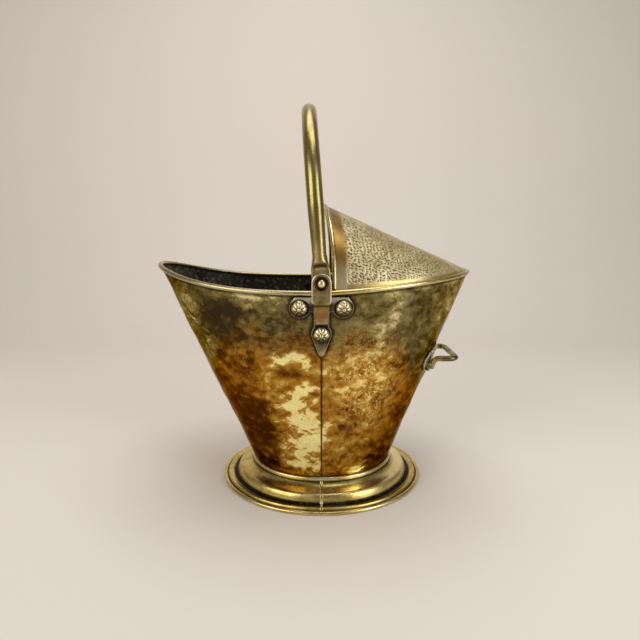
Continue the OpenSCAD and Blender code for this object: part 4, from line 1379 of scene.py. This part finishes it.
def cast_plate(outline, thick, carry, ridge_below, ridge, tarnish):
    """A plate from its half outline: rounded edges, a ridge down its tip, bent on to the wall.

    carry(x, z, d) gives the point off the wall at a place of the plate and a height off its back.
    The ridge starts below a height and adds a share of the thickness. Tarnish darkens the lobes
    and scales the painted shade along the plate's sides.
    """
    edge = 0.9 * MM
    bm = bmesh.new()
    half = outline[1:-1]
    points = [outline[0]] + half + [outline[-1]] + [(-x, z) for x, z in reversed(half)]
    face = bm.faces.new([bm.verts.new((x, z, 0)) for x, z in points])
    grown = bmesh.ops.extrude_face_region(bm, geom=[face])["geom"]
    front = [v for v in grown if isinstance(v, bmesh.types.BMVert)]
    bmesh.ops.translate(bm, vec=(0, 0, thick), verts=front)
    rim = [e for e in bm.edges if all(v in front for v in e.verts)]
    bmesh.ops.bevel(bm, geom=rim, offset=edge, segments=3, profile=0.5, affect="EDGES",
                    material=-1, clamp_overlap=True)
    slice_up(bm, 0, 2.4 * MM)
    slice_up(bm, 1, 4 * MM)
    wear, grime, dull = layers(bm, "wear", "grime", "dull")
    for v in bm.verts:
        x, z, d = v.co
        # Worn bevelled edges with a painted highlight along the top of the arms; darker lobes;
        # painted shade along the sides near the wall
        v[wear] = ease(0.5, 0.75, d / thick) * ease(1, 0.985, d / thick)
        v[wear] = max(v[wear] * 0.55, ease(outline[0][1] - 6 * MM, outline[0][1] - 3 * MM, z) * 0.8)
        v[dull] = tarnish * ease(ridge_below - 14 * MM, ridge_below, z)
        v[grime] = ease(0.6, 0.35, d / thick) * tarnish
        slope = max(1 - abs(x) / (5.5 * MM), 0) * ease(ridge_below, ridge_below - 8 * MM, z)
        v.co = carry(x, z, d * (1 + ridge * slope))
    bmesh.ops.recalc_face_normals(bm, faces=bm.faces)
    return bm


def slice_up(bm, axis, step):
    """Cuts a flat piece across, at every step along an axis."""
    values = [v.co[axis] for v in bm.verts]
    normal = Vector((0, 0, 0))
    normal[axis] = 1
    first, last = math.ceil(min(values) / step), math.floor(max(values) / step)
    for i in range(first, last + 1):
        geom = bm.verts[:] + bm.edges[:] + bm.faces[:]
        bmesh.ops.bisect_plane(bm, geom=geom, dist=1e-6, plane_co=normal * i * step,
                               plane_no=normal)


class Ear(Sizes):
    """One ear, on the side of +Y (1) or -Y (-1)."""

    def __init__(self, wall, side):
        super().__init__("scuttle_ears")
        self.wall = wall
        self.side = side
        self.plate_out = wall.plate_in + self.plate_t
        self.rosette_z = wall.rim_h - self.drop
        self.top = self.drop - wall.bead / 2 - 2 * wall.seat
        knee_drop = 8 * MM
        self.stem_z = self.rosette_z + self.top - knee_drop - self.crank
        self.knee = self.stem_z + self.crank

    def outline(self):
        return trefoil(self.span, self.lobe, self.top, self.low_drop, self.low_lobe, self.tip_drop)

    def plate(self):
        def carry(x, z, d):
            return self.wall.on_side(self.side, x, z + self.rosette_z, self.wall.plate_in + d)

        return cast_plate(self.outline(), self.plate_t, carry, ridge_below=-38 * MM, ridge=0.7,
                          tarnish=0.95)

    def strap(self):
        """The cranked stem and the tongue in front of the bail's eye."""
        crown = PIVOT.z + self.tongue_w / 2
        middle = self.tongue_in + self.tongue_t / 2
        foot = self.wall.at(pi / 2, self.wall.share(self.stem_z, pi / 2), self.plate_out).y
        heights = [mix(self.stem_z - 3 * MM, self.knee - 1 * MM, i / 14) for i in range(15)]
        corner = self.tongue_corner
        heights += [self.knee + corner * k for k in (0, 0.04, 0.16, 0.4, 0.7, 1)]
        heights += [mix(self.knee + corner, PIVOT.z, i / 6) for i in range(1, 7)]
        heights += [PIVOT.z + self.tongue_w / 2 * sin(radians(i * 6)) for i in range(1, 16)]
        last = len(heights) - 1

        def place(u, v):
            z = heights[round(v * last)]
            rise = (z - self.stem_z) / self.crank
            y = mix(foot, middle, ease(-0.15, 1.0, rise) * 0.35 + min(max(rise, -0.1), 1) * 0.65)
            wide = mix(self.stem_low, self.stem_w, ease(0, 1, rise)) / 2
            if z > self.knee:
                short = max(corner - (z - self.knee), 0)
                wide = self.tongue_w / 2 - corner + sqrt(corner ** 2 - short ** 2)
            if z > PIVOT.z:
                wide = sqrt(max((self.tongue_w / 2) ** 2 - (z - PIVOT.z) ** 2, 1e-12))
            x, off = superellipse(tau * u, wide, self.tongue_t / 2, 5)
            thin = ease(crown, crown - 1.6 * MM, z) * 0.6 + 0.4
            return Vector((x, self.side * (y + off * thin), z))

        bm = tube(40, last, place)
        wear, grime, rust = layers(bm, "wear", "grime", "rust")
        for v in bm.verts:
            edge = abs(abs(v.co.x) - self.tongue_w / 2) if v.co.z < PIVOT.z else abs(
                hypot(v.co.x, v.co.z - PIVOT.z) - self.tongue_w / 2)
            # Worn edges of the tongue, with a painted highlight
            v[wear] = ease(2.2 * MM, 0.6 * MM, edge)
            below = self.knee - v.co.z
            # Painted shadow under the crease of the stem
            v[grime] = ease(-0.6 * MM, 0.2 * MM, below) * ease(2.5 * MM, 1.2 * MM, below) * 0.85
            crease = ease(-0.4 * MM, 0.6 * MM, below) * ease(6 * MM, 3 * MM, below)
            stain = ease(6 * MM, 11 * MM, below) * ease(20 * MM, 13 * MM, below)
            v[rust] = max(crease, 0.8 * stain)
        return bm

    def rivets(self):
        """The places of the three rosettes, with the depth of each one's shank inside."""
        burr, strap = 1.2 * MM, 1 * MM
        thick = self.wall.sheet / 2 + 2 * self.wall.seat + burr
        f = self.wall.share(self.rosette_z, pi / 2)
        for k in (-1, 1):
            t = self.side * self.wall.angle_at_x(k * self.span / 2, f)
            yield self.wall.standing(t, self.rosette_z), thick
        deeper = thick + strap + self.wall.seat
        yield self.wall.standing(self.side * pi / 2, self.rosette_z - self.low_drop), deeper

    def flower(self, depth):
        """A flower-headed rivet: petals round a boss on a dome, and a clenched end inside."""
        base = self.plate_out + self.wall.seat / 2
        radius = self.rosette / 2
        shank = self.rivet / 2
        skirt_h = 1 * MM
        skirt = [(radius * 0.97, base), (radius, base + skirt_h / 2), (radius, base + skirt_h)]
        head = dome_line(self.rosette, self.rosette_h - skirt_h, base + skirt_h, 26)[1:]
        end = clenched(self.rivet, -depth) + [(shank, -depth)]
        bm = turned(end + [(shank, base)] + skirt + head, 96)
        paint(bm, "shade", lambda p: 0.9 * ease(-0.2, 0.5, p.x / radius))
        # Painted shade round the rosette's foot and in the grooves between its petals
        grime = layer(bm, "grime")
        for v in bm.verts:
            r = hypot(v.co.x, v.co.y) / radius
            if v.co.z < base + 0.7 * MM:
                v[grime] = 1
                continue
            lift, groove_shade = self.petal(r, atan2(v.co.y, v.co.x))
            v.co.z += lift
            v[grime] = groove_shade
        return bm

    def petal(self, r, angle):
        """How far the relief stands up at a share of the radius and an angle, and the painted
        shade in its grooves.
        """
        across = (angle * self.petals / tau + 0.5) % 1 - 0.5
        ring = ease(0.24, 0.36, r) * ease(0.94, 0.82, r)
        half = mix(0.34, 0.46, ease(0.3, 0.7, r))
        ridge = sqrt(max(1 - (across / half) ** 2, 0))
        boss = sqrt(max(1 - (r / 0.22) ** 2, 0))
        lift = 0.8 * MM * ring * ridge + 1.0 * MM * boss
        groove_shade = max(1 - ring * ease(0.05, 0.5, ridge), 0) * ease(0.17, 0.25, r)
        return lift - 0.3 * MM * ring, groove_shade * 0.9

    def pivot(self):
        """The pivot: a cupped washer round a domed head, and a clenched end inside."""
        seat = self.wall.seat
        face = self.tongue_in + self.tongue_t + seat / 2
        clear, washer = 0.8 * MM, 1.2 * MM
        end = self.wall.rim_w / 2 + self.wall.bead / 2 + clear - 2 * seat - washer
        rim = self.pin_head / 2
        shank = self.pin / 2
        cup = [(rim - 0.4 * MM, face), (rim, face + 0.4 * MM), (rim, face + 1.0 * MM),
               (rim - 0.5 * MM, face + 1.5 * MM), (rim - 1.2 * MM, face + 1.4 * MM),
               (rim - 2.2 * MM, face + 0.7 * MM), (rim - 3.2 * MM, face + 0.45 * MM)]
        dome = dome_line(9.6 * MM, 3.9 * MM, face + 0.5 * MM, 12)
        bm = turned(clenched(self.pin, end) + [(shank, end), (shank, face)] + cup + dome, 64)
        # Painted shade in the washer's cup and on the shank
        paint(bm, "grime", lambda p: self.cup_dirt(hypot(p.x, p.y), p.z - face) * 0.6)
        paint(bm, "shade", lambda p: self.cup_dirt(hypot(p.x, p.y), p.z - face))
        matrix = Matrix.Translation((0, 0, PIVOT.z)) @ Matrix.Rotation(self.side * -pi / 2, 4, "X")
        bmesh.ops.transform(bm, matrix=matrix, verts=bm.verts)
        return bm

    def cup_dirt(self, r, z):
        in_cup = ease(self.pin_head / 2 + 0.2 * MM, self.pin_head / 2 - 0.8 * MM, r)
        return in_cup * ease(2.6 * MM, 1.5 * MM, z) if z > 0 else 1


class SCUTTLE_OT_ears(Operator):
    """Make the ear plates, their rosettes and the pivot pins"""
    bl_idname = "scuttle.ears"
    bl_label = "Ears"

    def execute(self, context):
        wall = Wall()
        for side, word in ((-1, "near"), (1, "far")):
            ear = Ear(wall, side)
            plate = ear.plate()
            put(plate, ear.strap())
            piece(f"cast_ear_{word}", plate, [f"ear_plate_{word}"], cast_brass, sharp=50)
            flowers = bmesh.new()
            for matrix, depth in ear.rivets():
                put(flowers, ear.flower(depth), matrix)
            piece(f"flower_rivets_{word}", flowers, [f"rosettes_{word}"], rosette_brass,
                  sharp=85)
            piece(f"pivot_rivet_{word}", ear.pivot(), [f"pivot_pin_{word}"], rosette_brass,
                  sharp=60)
        return {"FINISHED"}


# Bail

class Bail(Sizes):
    """The swinging handle, from the near eye over the grip to the far eye."""

    def __init__(self):
        super().__init__("scuttle_bail")
        self.leg_h = self.reach - self.across

    def stations(self):
        """Middle, side direction, half width, half thickness and squareness along one half."""
        eye = self.eye / 2
        change_top = 30 * MM
        heights = [-eye * cos(radians(i * 9)) for i in range(10)]
        heights += [mix(0, change_top, i / 24) for i in range(1, 25)]
        heights += [mix(change_top, self.leg_h, i / 8) for i in range(1, 9)]
        made = []
        for z in heights:
            wide = sqrt(max(eye * eye - z * z, 1e-12)) if z < 0 else self.half_width(z)
            made.append((Vector((0, -self.across, z)), Vector((0, 1, 0)), wide,
                         self.half_thickness(z), mix(6, 2, ease(8 * MM, 26 * MM, z))))
        for i in range(1, 37):
            angle = pi / 2 * i / 36
            inward = Vector((0, cos(angle), -sin(angle)))
            middle = Vector((0, 0, self.leg_h)) - inward * self.across
            made.append((middle, inward, self.grip / 2, self.grip / 2, 2))
        return made

    def round_leg(self, z):
        return mix(self.leg, self.grip, (z - self.shoulder) / (self.leg_h - self.shoulder)) / 2

    def half_width(self, z):
        return mix(self.eye / 2, self.round_leg(max(z, self.shoulder)), ease(12 * MM, 32 * MM, z))

    def half_thickness(self, z):
        leg = self.round_leg(max(z, self.shoulder))
        return mix(self.eye_t / 2, leg, ease(15 * MM, 23.5 * MM, z))

    def mesh(self):
        near = self.stations()
        far = [(Vector((m.x, -m.y, m.z)), Vector((d.x, -d.y, d.z)), *rest) for m, d, *rest in near]
        stations = near + far[-2::-1]
        last = len(stations) - 1

        def place(u, v):
            middle, inward, wide, thick, power = stations[round(v * last)]
            x, off = superellipse(tau * u, wide, thick, power)
            return middle + Vector((x, 0, 0)) + inward * off

        return tube(36, last, place)


def bail_grime(p):
    """Painted shade in the curved step between each flat eye and its round leg, before the tilt."""
    step_z = 19.5 * MM
    off = abs(p.z - step_z + p.x ** 2 / (40 * MM))
    return 0.85 * ease(4.5 * MM, 1 * MM, off) * ease(9.5 * MM, 6.5 * MM, abs(p.x))


def bored(made, bores):
    """Cuts bores through a finished piece and drops the cutter."""
    mesh = as_mesh("bores", bores)
    cutter = link("bores", mesh)
    cut = made.modifiers.new("Bores", "BOOLEAN")
    cut.operation = "DIFFERENCE"
    cut.solver = "EXACT"
    cut.object = cutter
    graph = bpy.context.evaluated_depsgraph_get()
    carved = bpy.data.meshes.new_from_object(made.evaluated_get(graph))
    made.modifiers.clear()
    made.data = carved
    bpy.data.objects.remove(cutter)
    bpy.data.meshes.remove(mesh)


class SCUTTLE_OT_bail(Operator):
    """Make the swinging bail with its flattened eyes"""
    bl_idname = "scuttle.bail"
    bl_label = "Bail"

    def execute(self, context):
        bail = Bail()
        bm = bail.mesh()
        # Painted shade in the step above each eye
        paint(bm, "grime", bail_grime)
        placed = Matrix.Translation((0, 0, PIVOT.z)) @ Matrix.Rotation(-bail.tilt, 4, "Y")
        bmesh.ops.transform(bm, matrix=placed, verts=bm.verts)
        made = piece("bail_handle_rod", bm, ["bail"], handle_brass, body="bail_handle", sharp=60)
        bores = bmesh.new()
        across = Matrix.Translation(PIVOT) @ Matrix.Rotation(pi / 2, 4, "X")
        bmesh.ops.create_cone(bores, cap_ends=True, segments=48, radius1=bail.bore / 2,
                              radius2=bail.bore / 2, depth=3 * bail.across, matrix=across)
        bored(made, bores)
        return {"FINISHED"}


# Rear handle

class Rear(Sizes):
    """The rear loop and its plate."""

    def __init__(self, wall):
        super().__init__("scuttle_rear")
        self.wall = wall
        self.plate_t = Sizes("scuttle_ears").plate_t
        self.plate_out = wall.plate_in + self.plate_t
        self.arm_out = self.plate_out + wall.seat + self.rod / 2

    def plate(self):
        span = self.loop_w - 2 * self.inset
        outline = trefoil(span, self.lobe, 0.9 * self.lobe, self.low_drop, self.low_lobe,
                          self.tip_drop)

        def carry(x, z, d):
            return self.wall.on_back(x, z + self.plate_h, self.wall.plate_in + d)

        return cast_plate(outline, self.plate_t, carry, ridge_below=-30 * MM, ridge=0.6,
                          tarnish=0.25)

    def arm_angle(self, z):
        f = self.wall.share(z, 0)
        first = self.wall.out(self.wall.angle_at_y(self.loop_w / 2, f), f)
        return self.wall.angle_at_y(self.loop_w / 2 - self.arm_out * first.y, f)

    def arm(self, z):
        t = self.arm_angle(z)
        lean = self.wall.out(t, self.wall.share(z, 0)).z
        p = self.wall.at(t, self.wall.share(z - self.arm_out * lean, t), self.arm_out)
        return Vector((p.x, self.loop_w / 2, z))

    def half_path(self):
        """From the arm's lower end up, round its elbow and the loop's corner, to the middle."""
        low, high = self.arm(self.pad_h), self.arm(self.loop_h)
        stub, bend = 3.5 * MM, 6.5 * MM
        down = (low - high).normalized()
        foot, start = low + down * stub, high + down * bend
        reach = Vector((bend, 0, 0))
        path = [foot.lerp(start, i / 3) for i in range(3)]
        path += [start.lerp(high, k).lerp(high.lerp(high + reach, k), k) for k in
                 (i / 8 for i in range(9))]
        turn_x = self.loop_back - self.corner
        turn_y = self.loop_w / 2 - self.corner
        path += [(high + reach).lerp(Vector((turn_x, high.y, high.z)), i / 4) for i in range(1, 4)]
        path += [Vector((x, y, high.z)) for x, y in arc(turn_x, turn_y, self.corner, 90, 0, 10)]
        path += [Vector((self.loop_back, turn_y * (1 - i / 6), high.z)) for i in range(1, 7)]
        return path

    def loop(self):
        half = self.half_path()
        other = [Vector((p.x, -p.y, p.z)) for p in reversed(half[:-1])]
        bm = rod(half + other, self.rod / 2, 20)
        for side in (1, -1):
            t = side * self.arm_angle(self.pad_h)
            put(bm, self.pad_mesh(), self.wall.standing(t, self.pad_h))
        return bm

    def pad_mesh(self):
        base = self.plate_out + self.wall.seat / 2
        r, h, soft = self.pad / 2, self.pad_t, 0.7 * MM
        outline = [(0, base), (r - 0.2 * MM, base), (r, base + 0.2 * MM)]
        outline += arc(r - soft, base + h - soft, soft, 0, 90, 4) + [(0, base + h)]
        return turned(outline, 40)


class SCUTTLE_OT_rear(Operator):
    """Make the rear plate and its loop"""
    bl_idname = "scuttle.rear"
    bl_label = "Rear handle"

    def execute(self, context):
        rear = Rear(Wall())
        piece("cast_rear_plate", rear.plate(), ["rear_plate"], cast_brass, sharp=50)
        loop = rear.loop()
        paint(loop, "grime", lambda p: 0.55 * ease(0.45, 0.6, noise.noise(p / (14 * MM)) + 0.5))
        piece("rear_loop", loop, ["rear_handle"], handle_brass)
        return {"FINISHED"}


class SCUTTLE_OT_fittings(Operator):
    """Give the wires, straps, washers, floor and rear rivets their finishes"""
    bl_idname = "scuttle.fittings"
    bl_label = "Fittings"

    def execute(self, context):
        finishes = {
            iron_wire: ["rim_wire", "arch_wire", "hem_wire"],
            plain_brass: ["seam_straps", "floor_plate", "burrs_near", "burrs_far", "pivot_washers",
                          "rear_burrs"],
            rosette_brass: ["rear_studs"],
        }
        for finish, names in finishes.items():
            for name in names:
                mesh = frame["nodes"][name].data
                mesh.materials.clear()
                mesh.materials.append(finish())
        return {"FINISHED"}


# Stage

def stage_floor(stage):
    """A pale floor that sweeps up into the backdrop."""
    side, top, bend = 4, 3, 0.7
    back = stage.wall_back
    line = [(-side, 0), (-1, 0), (0, 0), (back - bend, 0)]
    line += arc(back - bend, bend, bend, -90, 0, 16) + [(back, 1.2), (back, top)]
    last = len(line) - 1

    def place(u, v):
        y, z = line[round(v * last)]
        return Vector((mix(-side, side, u), y, z))

    bm = patch(2, last, place)
    face_outwards(bm, lambda p: Vector((0, -1, 1)))
    mesh = as_mesh("stage_sweep", bm)
    mesh.shade_smooth()
    nodes = Nodes("stage_paper")
    grain = nodes.noise(0.4, 2)
    tone = nodes.blend(grain.step(0.2, 0.8) * 0.08, stage.floor, stage.fibre)
    mesh.materials.append(nodes.finish(tone, 0.75, metal=0.0))
    made = link("stage_sweep", mesh)


# Each soft light's name, place, aim, width and height, watts and colour
SOFTBOXES = (("key", (-1.7, -1.6, 1.2), (0, 0, 0.15), (1.7, 1.7), 26, (1, 0.97, 0.92)),
             ("fill", (1.4, -1.2, 0.8), (0, 0, 0.2), (0.9, 1.5), 15, (0.95, 0.97, 1)),
             ("top", (0.1, 0.1, 1.9), (0, 0, 0), (1.5, 1.1), 15, (1, 1, 1)))


def softbox(name, place, aim, size, power, colour):
    lamp = bpy.data.lights.new(name, "AREA")
    lamp.shape = "RECTANGLE"
    lamp.size, lamp.size_y = size
    lamp.energy = power
    lamp.color = colour
    made = link(name, lamp)
    made.location = place
    made.rotation_euler = (Vector(aim) - Vector(place)).to_track_quat("-Z", "Y").to_euler()


class SCUTTLE_OT_stage(Operator):
    """Make the plain stage, its soft light and the camera"""
    bl_idname = "scuttle.stage"
    bl_label = "Stage"

    def execute(self, context):
        stage = Sizes("scuttle_stage")
        scene = context.scene
        scene.view_settings.view_transform = "Standard"
        stage_floor(stage)
        for box in SOFTBOXES:
            softbox(*box)
        world = bpy.data.worlds.new("studio")
        world.use_nodes = True
        air = world.node_tree.nodes["Background"].inputs
        air["Color"].default_value = (*stage.air, 1)
        air["Strength"].default_value = stage.air_power
        scene.world = world
        lens = bpy.data.cameras.new("camera")
        lens.lens = stage.lens
        lens.clip_start = 0.02
        camera = link("camera", lens)
        camera.location = (stage.camera_x, -stage.camera_back, stage.camera_h)
        camera.rotation_euler = (pi / 2 - stage.pitch, 0, stage.yaw)
        scene.camera = camera
        return {"FINISHED"}


MAKERS = (SCUTTLE_OT_stage, SCUTTLE_OT_body, SCUTTLE_OT_rim, SCUTTLE_OT_foot, SCUTTLE_OT_hood,
          SCUTTLE_OT_ears, SCUTTLE_OT_bail, SCUTTLE_OT_rear, SCUTTLE_OT_fittings)


class SCUTTLE_PT_panel(Panel):
    """The scuttle's pieces and sizes"""
    bl_label = "Coal scuttle"
    bl_space_type = "VIEW_3D"
    bl_region_type = "UI"
    bl_category = "Scuttle"

    def draw(self, context):
        for maker in MAKERS:
            self.layout.operator(maker.bl_idname)
        for name, group in SIZE_GROUPS.items():
            box = self.layout.box()
            box.label(text=group.__doc__)
            for key in group.__annotations__:
                box.prop(getattr(context.scene, name), key)


CLASSES = (*SIZE_GROUPS.values(), *MAKERS, SCUTTLE_PT_panel)


def register():
    for made in CLASSES:
        bpy.utils.register_class(made)
    for name, group in SIZE_GROUPS.items():
        setattr(bpy.types.Scene, name, PointerProperty(type=group))


def unregister():
    for name in SIZE_GROUPS:
        delattr(bpy.types.Scene, name)
    for made in reversed(CLASSES):
        bpy.utils.unregister_class(made)


def main():
    register()
    for maker in MAKERS:
        family, name = maker.bl_idname.split(".")
        getattr(getattr(bpy.ops, family), name)()


if __name__ == "__main__":
    main()
